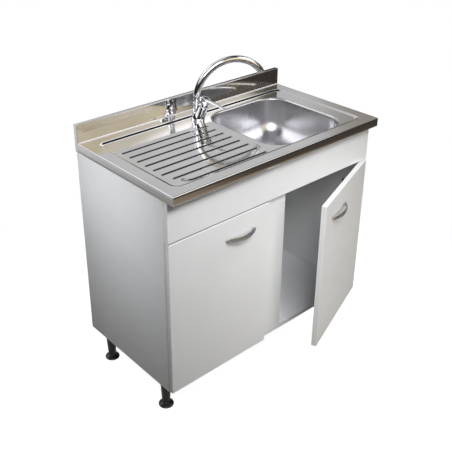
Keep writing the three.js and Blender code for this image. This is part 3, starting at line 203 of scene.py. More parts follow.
def remeshed(name, pieces, body, slot, material, replaced, voxel, smooth):
    """Overlapping closed pieces fused into one cast form with softened joins."""
    cast = Builder()
    for verts, faces in pieces:
        cast.add(verts, faces)
    obj = new_object(name, cast.mesh(name), body, slot, replaced)
    modified(obj, ("REMESH", {"mode": "VOXEL", "voxel_size": voxel}),
             ("SMOOTH", {"iterations": smooth, "factor": 0.5}))
    return dress(obj, material)


# ---------------------------------------------------------------- materials
METAL_TINT_SCALE, METAL_WAVE_SCALE = 5, 5  # noise scales, per metre
PLASTIC_TINT_SCALE, PLASTIC_GLOSS_SCALE = 4, 40
NOISE_ROUGHNESS = 0.55


def node_tree(name):
    mat = bpy.data.materials.new(name)
    mat.use_nodes = True
    tree = mat.node_tree
    return mat, tree, tree.nodes["Principled BSDF"]


def add(tree, kind, **values):
    """A new node with its sockets or its properties set by name."""
    node = tree.nodes.new(kind)
    for key, value in values.items():
        if key in node.inputs:
            node.inputs[key].default_value = value
        else:
            setattr(node, key, value)
    return node


def object_coords(tree, scale=(1, 1, 1)):
    coords = add(tree, "ShaderNodeTexCoord")
    mapping = add(tree, "ShaderNodeMapping", Scale=scale)
    tree.links.new(coords.outputs["Object"], mapping.inputs["Vector"])
    return mapping.outputs["Vector"]


def noise(tree, vector, scale, detail=3.0):
    node = add(tree, "ShaderNodeTexNoise", Scale=scale, Detail=detail, Roughness=NOISE_ROUGHNESS)
    tree.links.new(vector, node.inputs["Vector"])
    return node.outputs["Fac"]


def ramp(tree, factor, low, high, at_low=0.35, at_high=0.65):
    """Remaps a factor to run between two numbers or two colours."""
    node = add(tree, "ShaderNodeValToRGB")
    for element, place, value in zip(node.color_ramp.elements, (at_low, at_high), (low, high)):
        element.position = place
        element.color = (value, value, value, 1) if isinstance(value, float) else (*value, 1)
    tree.links.new(factor, node.inputs["Fac"])
    return node.outputs["Color"]


def bump(tree, shader, height, strength, distance, normal=None):
    node = add(tree, "ShaderNodeBump", Strength=strength, Distance=distance)
    tree.links.new(height, node.inputs["Height"])
    if normal is not None:
        tree.links.new(normal, node.inputs["Normal"])
    tree.links.new(node.outputs["Normal"], shader.inputs["Normal"])
    return node.outputs["Normal"]


def metal(name, dark, light, rough_low, rough_high, grain=(1, 1, 1), grain_scale=400,
          wave=0.0, fine=0.0, metallic=1.0):
    """Metal with cloudy colour, uneven polish and, where asked, waviness and a fine grain."""
    mat, tree, shader = node_tree(name)
    plain = object_coords(tree)
    grained = object_coords(tree, grain)
    tint = ramp(tree, noise(tree, plain, METAL_TINT_SCALE), dark, light)
    polish = ramp(tree, noise(tree, grained, grain_scale, 4), rough_low, rough_high, 0.3, 0.7)
    tree.links.new(tint, shader.inputs["Base Color"])
    tree.links.new(polish, shader.inputs["Roughness"])
    shader.inputs["Metallic"].default_value = metallic
    normal = None
    if wave:
        normal = bump(tree, shader, noise(tree, plain, METAL_WAVE_SCALE, 2), 1.0, wave)
    if fine:
        bump(tree, shader, noise(tree, grained, grain_scale, 3), 0.35, fine, normal)
    return mat


def plastic(name, dark, light, rough_low, rough_high, specular=0.5, pore_scale=900, pore=0.00002):
    """Board facing, plastic or rubber: cloudy colour, uneven gloss and fine pores."""
    mat, tree, shader = node_tree(name)
    plain = object_coords(tree)
    tint = ramp(tree, noise(tree, plain, PLASTIC_TINT_SCALE), dark, light)
    gloss = ramp(tree, noise(tree, plain, PLASTIC_GLOSS_SCALE, 4), rough_low, rough_high)
    tree.links.new(tint, shader.inputs["Base Color"])
    tree.links.new(gloss, shader.inputs["Roughness"])
    shader.inputs["Specular IOR Level"].default_value = specular
    bump(tree, shader, noise(tree, plain, pore_scale, 2), 0.3, pore)
    return mat


deck_steel = metal("deck_steel", (0.62, 0.615, 0.61), (0.68, 0.675, 0.67), 0.05, 0.11,
                   (0.15, 1, 1), 260, wave=0.0003, fine=0.000003)
bowl_steel = metal("bowl_steel", (0.58, 0.58, 0.595), (0.64, 0.64, 0.655), 0.27, 0.33,
                   (1, 1, 0.4), 7)
chrome = metal("chrome", (0.80, 0.81, 0.83), (0.86, 0.87, 0.89), 0.02, 0.06)
satin_chrome = metal("satin_chrome", (0.42, 0.42, 0.425), (0.50, 0.50, 0.505), 0.20, 0.26,
                     (0.1, 1, 1), 60, metallic=0.85)
# hinge_steel is near black rather than steel grey: painted shade for the hinges' shadowed bodies.
hinge_steel = metal("hinge_steel", (0.14, 0.145, 0.155), (0.20, 0.205, 0.215), 0.3, 0.45,
                    fine=0.00001)
zinc = metal("zinc_plate", (0.50, 0.51, 0.52), (0.60, 0.61, 0.62), 0.3, 0.45, fine=0.00001)
brass = metal("brass", (0.62, 0.47, 0.22), (0.72, 0.58, 0.30), 0.22, 0.35, fine=0.00001)
melamine = plastic("white_melamine", (0.77, 0.775, 0.785), (0.80, 0.805, 0.815), 0.30, 0.40, 0.4)
# inner_melamine is the white board made a little darker and bluer: painted cool shade for the
# cabinet's inside.
inner_melamine = plastic("inner_melamine", (0.74, 0.755, 0.78), (0.78, 0.795, 0.82), 0.38, 0.5,
                         0.35)
hardboard = plastic("back_hardboard", (0.72, 0.72, 0.70), (0.78, 0.78, 0.76), 0.5, 0.7, 0.2)
black_plastic = plastic("black_plastic", (0.010, 0.010, 0.010), (0.020, 0.020, 0.020), 0.28, 0.42,
                        0.5, 600, 0.00004)
white_plastic = plastic("white_plastic", (0.76, 0.76, 0.73), (0.82, 0.82, 0.79), 0.3, 0.4)
rubber = plastic("black_rubber", (0.012, 0.012, 0.012), (0.02, 0.02, 0.02), 0.6, 0.8,
                 0.3, 400, 0.00006)
# Painted shade: the dark grey of the strip set in the gap over the left door.
shade_strip_grey = plastic("shade_strip_grey", (0.10, 0.10, 0.10), (0.14, 0.14, 0.14), 0.6, 0.8,
                      0.3, 400, 0.00004)
bumper_pad = plastic("clear_bumper", (0.70, 0.71, 0.69), (0.76, 0.77, 0.75), 0.4, 0.5)
by_slot = {
    "stainless_steel": bowl_steel, "polished_chrome": chrome, "satin_chrome": satin_chrome,
    "hinge_steel": hinge_steel, "white_melamine": melamine, "inner_melamine": inner_melamine,
    "back_hardboard": hardboard, "black_plastic": black_plastic, "white_plastic": white_plastic,
    "black_rubber": rubber, "clear_bumper": bumper_pad, "zinc_washer": zinc,
    "brass_fittings": brass,
}
slot_of = {s["node"]: s["material_slot"] for s in frame["record"]["subparts"]}
for node_name, node in nodes.items():
    node.data.materials.clear()
    node.data.materials.append(by_slot[slot_of[node_name]])

# ---------------------------------------------------------------- worktop
RECESS = (-410.0, 410.0, -211.0, 192.0, 32.0)  # left, right, front, back, corner radius
STEP_RUN = 11.0  # width of the slope from the border down to the deck
BOWL_C, BOWL_HALF, BOWL_R = (178.0, -18.5), (176.0, 183.5), 80.0
RIM_R, FLOOR_R, DRAFT = 7.0, 74.0, math.radians(5)
BOWL_FLOOR, WASTE_SEAT, WASTE_HOLE, WASTE_DISH = 696.0, 693.0, 44.0, 58.0
GROOVE_COUNT, GROOVE_PITCH, GROOVE_HALF, GROOVE_DEEP = 8, 39.7, 5.0, 2.4
GROOVE_X = (-380.0, -38.0)
GROOVE_MARGIN = 12.0  # no groove reaches farther than this past its ends
FIRST_GROOVE_Y = -193.0
SECOND_GROOVE_IN = 11.0  # the second one is shorter, clear of the first one's turned end
TURN_R, TURN_REACH, TURN_RISE, TURN_STEPS = 26.0, 0.95, 0.75, 8
DECK_EDGE_X, DECK_FRONT_Y, DECK_BACK_Y = 447.0, -247.0, 230.0
# The deck's grid steps, and the ranges with slopes or groove ends, where it is closer.
GRID_X, GRID_Y, GRID_FINE = 5.0, 3.2, 1.5
FINE_X, FINE_Y = [(-418, -366), (-48, -28), (395, 418)], [(-220, 96)]
OPENING_EDGE = 0.2  # the grid ends this far outside the bowl's rim, under its flat ring
LIFT = 0.01  # keeps a sheet clear of the one that it overlaps


def rounded_distance(x, y, cx, cy, hx, hy, r):
    """Distance outside (+) or inside (-) a rounded rectangle."""
    qx, qy = abs(x - cx) - (hx - r), abs(y - cy) - (hy - r)
    return math.hypot(max(qx, 0), max(qy, 0)) + min(max(qx, qy), 0) - r


def recess_distance(x, y):
    x0, x1, y0, y1, r = RECESS
    return rounded_distance(x, y, (x0 + x1) / 2, (y0 + y1) / 2, (x1 - x0) / 2, (y1 - y0) / 2, r)


def segment_distance(x, y, ax, ay, bx, by):
    dx, dy = bx - ax, by - ay
    t = ((x - ax) * dx + (y - ay) * dy) / max(dx * dx + dy * dy, 1e-9)
    t = min(max(t, 0), 1)
    return math.hypot(x - ax - t * dx, y - ay - t * dy)


def groove_lines():
    """The grooves' centre lines from the front; the first one's left end is turned."""
    left, right = GROOVE_X
    lines = []
    for row in range(GROOVE_COUNT):
        y = FIRST_GROOVE_Y + row * GROOVE_PITCH
        start = left + SECOND_GROOVE_IN if row == 1 else left
        line = [(start, y)]
        if row == 0:
            line = []
            for i in range(TURN_STEPS + 1):
                a = math.pi * (1 + i / TURN_STEPS / 2)
                line.append((left + TURN_R * (2 + math.cos(a) * TURN_REACH),
                             y + TURN_R * TURN_RISE * (1 + math.sin(a))))
        lines.append(line + [(right, y)])
    return lines


GROOVES = groove_lines()


def deck_height(x, y):
    down = min(max(-recess_distance(x, y) / STEP_RUN, 0), 1)
    z = TOP_Z - (TOP_Z - DECK_Z) * (0.5 - 0.5 * math.cos(math.pi * down))
    if GROOVE_X[0] - GROOVE_MARGIN < x < GROOVE_X[1] + GROOVE_MARGIN:
        near = GROOVE_HALF
        for line in GROOVES:
            if abs(line[-1][1] - y) < GROOVE_PITCH:
                near = min([near] + [segment_distance(x, y, *a, *b)
                                     for a, b in zip(line, line[1:])])
        z -= GROOVE_DEEP * (0.5 + 0.5 * math.cos(math.pi * near / GROOVE_HALF))
    return z


def axis_lines(start, stop, step, fine_ranges):
    """Grid lines, closer together inside the given ranges."""
    out, v = [], start
    while v < stop - 1e-6:
        out.append(v)
        v += GRID_FINE if any(a <= v <= b for a, b in fine_ranges) else step
    out.append(stop)
    return out


def build_deck(builder):
    """The border and the sunk deck, as a grid that leaves the bowl's opening free."""
    xs = axis_lines(-DECK_EDGE_X, DECK_EDGE_X, GRID_X, FINE_X)
    ys = axis_lines(DECK_FRONT_Y, DECK_BACK_Y, GRID_Y, FINE_Y)
    verts = [at(x, y, deck_height(x, y)) for y in ys for x in xs]
    faces = []
    n = len(xs)
    for j in range(len(ys) - 1):
        for i in range(n - 1):
            if xs[i + 1] > 0:  # the bowl lies right of the middle
                near = min(rounded_distance(x, y, *BOWL_C, *BOWL_HALF, BOWL_R)
                           for x in (xs[i], xs[i + 1]) for y in (ys[j], ys[j + 1]))
                if near < OPENING_EDGE:
                    continue
            a = j * n + i
            faces.append((a, a + 1, a + 1 + n, a + n))
    builder.add(verts, faces)


def rounded_ring(cx, cy, hx, hy, r, z, arc_steps=16, edge_steps=6):
    points = []
    corners = [(1, 1), (-1, 1), (-1, -1), (1, -1)]
    for c, (sx, sy) in enumerate(corners):
        ox, oy = cx + sx * (hx - r), cy + sy * (hy - r)
        for i in range(arc_steps + 1):
            a = (c + i / arc_steps) * math.pi / 2
            points.append((ox + r * math.cos(a), oy + r * math.sin(a)))
        nx, ny = corners[(c + 1) % 4]
        a = (c + 1) * math.pi / 2
        bx, by = cx + nx * (hx - r) + r * math.cos(a), cy + ny * (hy - r) + r * math.sin(a)
        ax, ay = points[-1]
        for i in range(1, edge_steps):
            t = i / edge_steps
            points.append((ax + (bx - ax) * t, ay + (by - ay) * t))
    return [(x, y, z) for x, y in points]


def bowl_section(rim_steps=8, wall_steps=6, floor_steps=20):
    """(inset, z) down the rim's curve, the drafted wall and the sweep into the floor."""
    turn = math.pi / 2 - DRAFT
    pts = []
    for i in range(rim_steps + 1):
        a = i / rim_steps * turn
        pts.append((RIM_R * math.sin(a), DECK_Z - RIM_R * (1 - math.cos(a))))
    top_in, top_z = pts[-1]
    low_z = BOWL_FLOOR + FLOOR_R * (1 - math.sin(DRAFT))
    foot = top_in + (top_z - low_z) * math.tan(DRAFT)
    for i in range(1, wall_steps):
        t = i / wall_steps
        pts.append((top_in + (foot - top_in) * t, top_z + (low_z - top_z) * t))
    centre = foot + FLOOR_R * math.cos(DRAFT)
    for i in range(floor_steps + 1):
        a = DRAFT + i / floor_steps * turn
        pts.append((centre - FLOOR_R * math.cos(a), BOWL_FLOOR + FLOOR_R * (1 - math.sin(a))))
    return pts


def build_bowl(builder):
    """A flat ring on the deck round the opening, then the bowl down to its waste hole."""
    flange_wide, flange_z, corner_shrink, floor_steps = 8, DECK_Z + 0.03, 0.4, 8

    def ring(inset, z):
        return rounded_ring(*BOWL_C, BOWL_HALF[0] - inset, BOWL_HALF[1] - inset,
                            BOWL_R - max(inset, 0) * corner_shrink, z)

    def around(radius, x, y):
        a = math.atan2(y - BOWL_C[1], x - BOWL_C[0])
        return BOWL_C[0] + radius * math.cos(a), BOWL_C[1] + radius * math.sin(a)

    def to_frame(rings):
        return [[at(*p) for p in r] for r in rings]

    flange = [ring(-flange_wide, flange_z), ring(-LIFT, flange_z)]
    rings = [ring(inset, z) for inset, z in bowl_section()]
    edge = rings[-1]
    for k in range(1, floor_steps + 1):
        t = k / floor_steps
        z = BOWL_FLOOR + (WASTE_SEAT - BOWL_FLOOR) * t
        row = []
        for x, y, _ in edge:
            cx, cy = around(WASTE_DISH, x, y)
            row.append((x + (cx - x) * t, y + (cy - y) * t, z))
        rings.append(row)
    rings.append([(*around(WASTE_HOLE, x, y), WASTE_SEAT) for x, y, _ in edge])
    builder.add_turned_over(to_frame(flange), 0)
    builder.add_turned_over(to_frame([flange[-1]] + rings), 1)


def build_skirt(builder):
    """The folded lip along the left end, the front and the right end."""
    corner, corner_steps, fold, fold_steps = 3.0, 6, 3.0, 5
    path = [((-HALF_WIDTH, UPSTAND_FACE), (-1, 0))]
    cy = -HALF_DEPTH + corner
    for cx, start in ((-HALF_WIDTH + corner, math.pi), (HALF_WIDTH - corner, 1.5 * math.pi)):
        for i in range(corner_steps + 1):
            a = start + i / corner_steps * math.pi / 2
            out = (math.cos(a), math.sin(a))
            path.append(((cx + corner * out[0], cy + corner * out[1]), out))
    path.append(((HALF_WIDTH, UPSTAND_FACE), (1, 0)))
    profile = [(-fold, TOP_Z)]
    for i in range(1, fold_steps + 1):
        a = math.pi / 2 * i / fold_steps
        profile.append((-fold + fold * math.sin(a), TOP_Z - fold + fold * math.cos(a)))
    foot = SKIRT_FOOT
    profile += [(0, foot + 20), (0, foot + 10), (0, foot + 1.2), (-0.4, foot + 0.3), (-1.2, foot),
                (-9, foot), (-9, foot + 1)]
    builder.add_turned_over(
        [[at(x + o * nx, y + o * ny, z) for (x, y), (nx, ny) in path] for o, z in profile],
        closed=False)


def build_upstand(builder):
    """The upstand's outside, with the small concave fold at its foot."""
    round_off, fold, fold_steps = 2.5, 3.0, 6
    bm = bmesh.new()
    v = [bm.verts.new(at(x, y, z)) for x in (-HALF_WIDTH, HALF_WIDTH)
         for y in (UPSTAND_FACE, HALF_DEPTH) for z in (SKIRT_FOOT, UPSTAND_TOP)]
    for quad in [(0, 1, 3, 2), (4, 6, 7, 5), (0, 4, 5, 1), (2, 3, 7, 6), (1, 5, 7, 3)]:
        bm.faces.new([v[i] for i in quad])
    bm.normal_update()
    edges = [e for e in bm.edges if len(e.link_faces) == 2]
    bmesh.ops.bevel(bm, geom=edges, offset=round_off * MM, segments=4, profile=0.5,
                    affect="EDGES")
    bmesh.ops.recalc_face_normals(bm, faces=bm.faces)
    bm.verts.index_update()
    builder.add([v.co.copy() for v in bm.verts],
                [tuple(v.index for v in f.verts) for f in bm.faces])
    bm.free()
    curve = [(DECK_BACK_Y, TOP_Z)]
    for i in range(1, fold_steps + 1):
        a = math.pi / 2 * i / fold_steps
        curve.append((DECK_BACK_Y + fold * math.sin(a), TOP_Z + fold - fold * math.cos(a)))
    builder.add_turned_over(
        [[at(x, y, z + LIFT) for x in (-DECK_EDGE_X, 0.0, DECK_EDGE_X)] for y, z in curve],
        closed=False)


sheet = Builder()
build_deck(sheet)
build_bowl(sheet)
build_skirt(sheet)
build_upstand(sheet)
worktop = new_object("worktop_sheet", sheet.mesh("worktop_sheet"), "cabinet", "stainless_steel",
                     "sink_top")
dress(worktop, deck_steel, bowl_steel)

# ---------------------------------------------------------------- legs and feet
LEG_X, LEG_Y = 403.0, {"front": -123.0, "back": 198.0}
LEG_CORNERS = [
    (0, 88, 0), (5.3, 88, 0), (5.3, 22.3, 0), (14, 22.3, 1), (19, 119.7, 6), (21, 125.7, 2),
    (30.8, 125.9, 1.5), (31, 129.7, 0.6), (0, 129.7, 0)]
FOOT_CORNERS = [
    (0, 0, 0), (24.5, 0, 1.2), (26, 2, 1.2), (25, 4.5, 2.5), (21, 7.5, 4), (15.5, 11, 3),
    (12.5, 13, 3), (12.5, 22, 1), (5, 22, 0), (5, 84, 0.5), (0, 84, 0)]
for hand, side in (("left", -1), ("right", 1)):
    for row in ("front", "back"):
        spot = placed(side * LEG_X, LEG_Y[row])
        leg, foot = f"leg_{row}_{hand}", f"foot_{row}_{hand}"
        turned_piece(f"{leg}_skin", LEG_CORNERS, spot, "cabinet", "black_plastic", black_plastic,
                     leg, sides=40)
        turned_piece(f"{foot}_skin", FOOT_CORNERS, spot, foot, "black_plastic", black_plastic,
                     foot, sides=40)

# ---------------------------------------------------------------- mixer
TAP_X, TAP_Y, SPOUT_Y = -20.0, 155.0, 162.0
LEAN = math.radians(25)
COLLAR_FOOT, COLLAR_TOP, BEND_Z, BEND_R = 900.3, 906.3, 910.6, 132.0
SWEEP, HEADING = math.radians(141), math.radians(-20)
NECK_GAP = 0.3  # between the collar and the neck above it
NECK_R, BORE_R, NECK_STEPS, BORE_STEPS = 12.0, 8.6, 110, 7
housing = placed(TAP_X, TAP_Y - 6, DECK_Z + 6) @ Matrix.Rotation(LEAN, 4, "X")
spout_axis = placed(TAP_X, SPOUT_Y)
tap_spot = placed(TAP_X, TAP_Y)

BODY_FOOT = DECK_Z + 3.6  # on top of the ring
remeshed("tap_body_cast", [
    lathe([(0, BODY_FOOT, 0), (22, BODY_FOOT, 0.5), (22, BODY_FOOT + 4, 2), (19, BODY_FOOT + 14, 5),
           (17, BODY_FOOT + 24, 3), (0, BODY_FOOT + 24, 0)], tap_spot),
    lathe([(0, BODY_FOOT + 1, 0), (14, BODY_FOOT + 1, 0), (14, 900, 0.6), (0, 900, 0)], spout_axis),
    lathe([(0, 1, 0), (15.5, 1, 1), (18, 14, 6), (18, 60, 0.8), (0, 60, 0)], housing),
], "cabinet", "polished_chrome", chrome, "tap_body", voxel=0.0008, smooth=5)
turned_piece("tap_ring_skin", [
    (16, 846.3, 0), (24, 846.3, 0.4), (24, 848, 1), (22.5, 849.3, 0.6), (16, 849.3, 0),
], tap_spot, "cabinet", "polished_chrome", chrome, "tap_base_ring")
turned_piece("tap_nut_skin", [
    (11.5, 61.3, 0), (16.5, 61.3, 0.3), (17.4, 65, 1), (17.5, 67, 1), (17, 71, 1.5),
    (15, 76, 1), (11.5, 76, 0),
], housing, "cabinet", "polished_chrome", chrome, "cartridge_nut")
turned_piece("spout_collar_skin", [
    (11.4, COLLAR_FOOT, 0), (14.5, COLLAR_FOOT, 0.5), (14.5, 904, 1.2), (13, COLLAR_TOP, 0.6),
    (11.4, COLLAR_TOP, 0),
], spout_axis, "spout", "polished_chrome", chrome, "spout_collar")


def neck_point(t):
    """A point on the swan neck's centre line, t from 0 at the collar to 1 at the mouth."""
    start = COLLAR_TOP + NECK_GAP
    riser = BEND_Z - start
    along = t * (riser + BEND_R * SWEEP)
    if along < riser:
        out, z = 0.0, start + along
    else:
        a = (along - riser) / BEND_R
        out, z = BEND_R * (1 - math.cos(a)), BEND_Z + BEND_R * math.sin(a)
    return at(TAP_X + out * math.cos(HEADING), SPOUT_Y + out * math.sin(HEADING), z)


def circle(radius, sides=48):
    angles = [2 * math.pi * i / sides for i in range(sides)]
    return [(radius * MM * math.cos(a), radius * MM * math.sin(a)) for a in angles]


neck_path = [neck_point(i / NECK_STEPS) for i in range(NECK_STEPS + 1)]
plane_normal = Vector((-math.sin(HEADING), math.cos(HEADING), 0))
neck = sweep(neck_path, lambda t: circle(NECK_R), plane_normal)
bore = sweep(neck_path[-BORE_STEPS - 1:], lambda t: circle(BORE_R), plane_normal)
verts, faces = rings_mesh(neck + list(reversed(bore)), cap_start=True, cap_end=True)
dress(new_object("spout_tube", mesh_from("spout_tube", verts, faces), "spout", "polished_chrome",
                 "spout"), chrome)

mouth = (spout_axis @ Matrix.Rotation(HEADING, 4, "Z")
         @ Matrix.Translation((BEND_R * (1 - math.cos(SWEEP)) * MM, 0,
                               (BEND_Z + BEND_R * math.sin(SWEEP)) * MM))
         @ Matrix.Rotation(SWEEP, 4, "Y"))
turned_piece("aerator_skin", [
    (8.2, -3, 0), (8.2, 0.3, 0), (11, 0.3, 0.4), (11, 4, 0.8), (10, 9, 0.6), (8, 9, 0.3),
    (8, 7, 0), (0, 7, 0),
], mouth, "spout", "polished_chrome", chrome, "aerator", sides=40)

# The lever's heights run along the leaning housing, its dome lies round the lift pivot.
LIFT_PIVOT, DOME_R, HEAD_WALL = 67.0, 18.3, 1.8
CROWN = LIFT_PIVOT + DOME_R + HEAD_WALL
BLADE_LONG, BLADE_HALF, BLADE_THICK = 98.0, (12.5, 6.5), (10.2, 4.5)  # each at head and tip
BLADE_ARCH, BLADE_DROP, BLADE_STEPS, BLADE_SIDES = 3.0, 4.0, 24, 24
BLADE_BELOW = 7.0  # its root lies this far under the crown
blade_root = housing @ Vector((0, 0, (CROWN - BLADE_BELOW) * MM))


def blade_ring(t):
    """A section across the lever's blade, t from 0 inside the head to 1 at the tip."""
    half = (BLADE_HALF[0] + (BLADE_HALF[1] - BLADE_HALF[0]) * math.sqrt(t)) * MM
    thick = (BLADE_THICK[0] + (BLADE_THICK[1] - BLADE_THICK[0]) * t) * MM / 2
    y = blade_root.y - t * BLADE_LONG * MM
    z = blade_root.z + (BLADE_ARCH * math.sin(t * math.pi) - BLADE_DROP * t) * MM
    ring = []
    for i in range(BLADE_SIDES):
        a = 2 * math.pi * i / BLADE_SIDES
        flat = math.copysign(abs(math.sin(a)) ** 0.8, math.sin(a))
        ring.append(Vector((blade_root.x + half * math.cos(a), y, z + thick * flat)))
    return ring


head = lathe([
    (0, 68.5, 0), (22, 68.5, 0.8), (22, CROWN - 9, 3), (20.9, CROWN - 5.4, 3),
    (17.6, CROWN - 2, 4), (12.1, CROWN - 0.5, 3), (0, CROWN, 0)], housing)
blade = rings_mesh([blade_ring(i / BLADE_STEPS) for i in range(BLADE_STEPS + 1)],
                   cap_start=True, cap_end=True)
remeshed("lever_cast", [head, blade], "tap_lever", "polished_chrome", chrome, "lever",
         voxel=0.0007, smooth=4)

# ---------------------------------------------------------------- waste
turned_piece("waste_flange_skin", [
    (38.2, 676.9, 0), (43.2, 676.9, 0), (43.2, 693.3, 0), (56, 693.3, 0.2), (55, 694.3, 0.4),
    (45.5, 695.3, 1.2), (41.2, 692.4, 1.5), (41.2, 678.9, 0.5), (38.2, 678.9, 0),
], placed(*BOWL_C), "cabinet", "stainless_steel", bowl_steel, "waste_flange", sides=72)

# ---------------------------------------------------------------- handles
DOOR_RIGHT_PIVOT = (447.0, -220.0)
DOOR_FACE_Y = -220.0
HANDLE_Z, LEFT_HANDLE_X, RIGHT_HANDLE_IN = 612.0, -165.5, 281.5
AJAR = math.radians(20.77)
HANDLE_HALF, HANDLE_BOW, HANDLE_THICK, HANDLE_WIDE = 62.5, 25.0, 5.5, 18.0
HANDLE_TAPER, HANDLE_TIP = 3.0, 9.0  # narrowing towards the ends; length of a rounded end
HANDLE_STEPS, HANDLE_SIDES = 72, 32
POST_R, POST_LONG, DOOR_GAP = 4.5, 6.0, 0.3


def handle(name, matrix, body):
    """An arched, slightly crowned band with rounded ends on two short posts."""
    tip_start = 1 - HANDLE_TIP / HANDLE_HALF
    quarter = math.pi / 2 * 0.985  # just short, so that no end ring shrinks to a point
    spots = [math.sin(quarter * (2 * i / HANDLE_STEPS - 1)) for i in range(HANDLE_STEPS + 1)]

    def stand(s):
        return HANDLE_THICK / 2 + (HANDLE_BOW - HANDLE_THICK) * (1 - s * s)

    def section(t):
        s = spots[round(t * HANDLE_STEPS)]
        end = max(abs(s) - tip_start, 0) / (1 - tip_start)
        shrink = math.sqrt(max(1 - end * end, 0.0004))
        wide = (HANDLE_WIDE - HANDLE_TAPER * s * s) / 2 * shrink * MM
        deep = HANDLE_THICK / 2 * (0.45 + 0.55 * shrink) * MM
        angles = [2 * math.pi * k / HANDLE_SIDES for k in range(HANDLE_SIDES)]
        return [(deep * math.cos(a), wide * math.sin(a)) for a in angles]

    path = [matrix @ Vector((HANDLE_HALF * s * MM, -stand(s) * MM, 0)) for s in spots]
    up = matrix.to_3x3() @ Vector((0, 0, 1))
    bow = Builder()
    bow.add(*rings_mesh(sweep(path, section, up), cap_start=True, cap_end=True))
    for side in (-1, 1):
        post = (matrix @ Matrix.Translation((side * HANDLE_HALF * tip_start * MM, 0, 0))
                @ Matrix.Rotation(math.pi / 2, 4, "X"))
        bow.add(*lathe([(0, DOOR_GAP, 0), (POST_R, DOOR_GAP, 0), (POST_R, POST_LONG, 0),
                        (0, POST_LONG, 0)], post, 32))
    replaced = f"handle_{body.split('_')[1]}"
    return dress(new_object(name, bow.mesh(name), body, "satin_chrome", replaced), satin_chrome)


handle("handle_left_bow", placed(LEFT_HANDLE_X, DOOR_FACE_Y, HANDLE_Z), "door_left")
handle("handle_right_bow", placed(*DOOR_RIGHT_PIVOT, HANDLE_Z) @ Matrix.Rotation(AJAR, 4, "Z")
       @ Matrix.Translation((-RIGHT_HANDLE_IN * MM, 0, 0)), "door_right")

# ---------------------------------------------------------------- painted shade: a dark strip in the gap over the left door
# A dark grey strip set between the fascia and the left door, where there is only shade: painted
# shade, not a seal.
SHADE_STRIP_OVER, SHADE_STRIP_UNDER, SHADE_STRIP_IN, SHADE_STRIP_THICK = 0.6 * MM, 0.05 * MM, 0.5 * MM, 1.2 * MM
fascia_low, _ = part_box("front_fascia")
door_low, door_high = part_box("door_left")
shade_strip_front = fascia_low.y + SHADE_STRIP_IN
shade_strip_verts = [(x, y, z) for z in (door_high.z + SHADE_STRIP_OVER, fascia_low.z - SHADE_STRIP_UNDER)
             for x, y in ((door_low.x, shade_strip_front), (door_high.x, shade_strip_front),
                          (door_high.x, shade_strip_front + SHADE_STRIP_THICK),
                          (door_low.x, shade_strip_front + SHADE_STRIP_THICK))]
shade_strip_faces = [(3, 2, 1, 0), (4, 5, 6, 7), (0, 1, 5, 4), (1, 2, 6, 5), (2, 3, 7, 6), (3, 0, 4, 7)]
dress(new_object("gap_shade_strip", mesh_from("gap_shade_strip", shade_strip_verts, shade_strip_faces, False), "cabinet",
                 "black_rubber"), shade_strip_grey)

# ---------------------------------------------------------------- surroundings and floor
BLACK, WHITE = (0, 0, 0), (1, 1, 1)
GROUND, CEILING = (0.03, 0.028, 0.025), (0.035, 0.035, 0.037)
# What polished metal sees: (height from -1 to 1, colour) bands, then soft-edged round patches
# of (colour, bearing, height, inner and outer radius), all in degrees, each over those before.
ROOM_BANDS = [
    (-1, GROUND), (0.2, GROUND), (0.27, (0.12, 0.12, 0.12)), (0.33, (0.70, 0.70, 0.71)),
    (0.54, (0.76, 0.76, 0.77)), (0.64, CEILING), (1, CEILING)]
ROOM_PATCHES = [
    ((0.17, 0.15, 0.13), -30, 22, 18, 26),
    ((1.0, 0.88, 0.65), -78, 24, 24, 28),
    ((1.4, 1.25, 1.0), -57, 20, 2, 4),
    ((1.15, 1.08, 0.93), -47, 34.5, 14.6, 15.8),
    ((0.36, 0.33, 0.30), 27, 18, 9, 14),
    ((2.6, 2.6, 2.7), -40, 42, 11, 18),
    ((0.35, 0.35, 0.36), 0, 90, 12, 24),
    ((0.8, 0.8, 0.82), 92, 45, 22, 32),
    ((2.2, 2.2, 2.3), 120, 40, 12, 20),
    ((4.5, 4.5, 4.7), -131, 38, 15, 24)]
# What polished metal sees of the floor, as (place from -1 to 1, colour) from back left to front.
FLOOR_BANDS = [
    (-1, (0.78, 0.79, 0.81)), (-0.85, (0.70, 0.70, 0.72)), (-0.6, (0.35, 0.35, 0.34)),
    (0.1, (0.45, 0.42, 0.38)), (0.5, (0.30, 0.23, 0.16)), (0.62, (0.09, 0.075, 0.06)),
    (1, (0.06, 0.05, 0.045))]
FLOOR_ACROSS = (0.25, -0.25, 0)
SHADOW_FROM, SHADOW_TO = 1.4, 0.6  # metres from the middle over which the floor takes shadow
FLOOR_HALF, FLOOR_Z = 6, -0.001


def bearing(az, el):
    """A direction from degrees of bearing (from +X towards +Y) and of height."""
    a, e = math.radians(az), math.radians(el)
    return (math.cos(a) * math.cos(e), math.sin(a) * math.cos(e), math.sin(e))


def smooth_range(tree, value, start, stop):
    """A factor that runs softly from 0 at start to 1 at stop."""
    node = add(tree, "ShaderNodeMapRange", interpolation_type="SMOOTHSTEP")
    node.inputs["From Min"].default_value = start
    node.inputs["From Max"].default_value = stop
    tree.links.new(value, node.inputs["Value"])
    return node.outputs["Result"]


def patch(tree, vector, below, color, az, el, inner, outer):
    """Lays a soft-edged round patch of light over what is below it in the surroundings."""
    dot = add(tree, "ShaderNodeVectorMath", operation="DOT_PRODUCT")
    dot.inputs[1].default_value = bearing(az, el)
    tree.links.new(vector, dot.inputs[0])
    mix = add(tree, "ShaderNodeMix", data_type="RGBA")
    tree.links.new(smooth_range(tree, dot.outputs["Value"], math.cos(math.radians(outer)),
                                math.cos(math.radians(inner))), mix.inputs["Factor"])
    tree.links.new(below, mix.inputs["A"])
    mix.inputs["B"].default_value = (*color, 1)
    return mix.outputs["Result"]


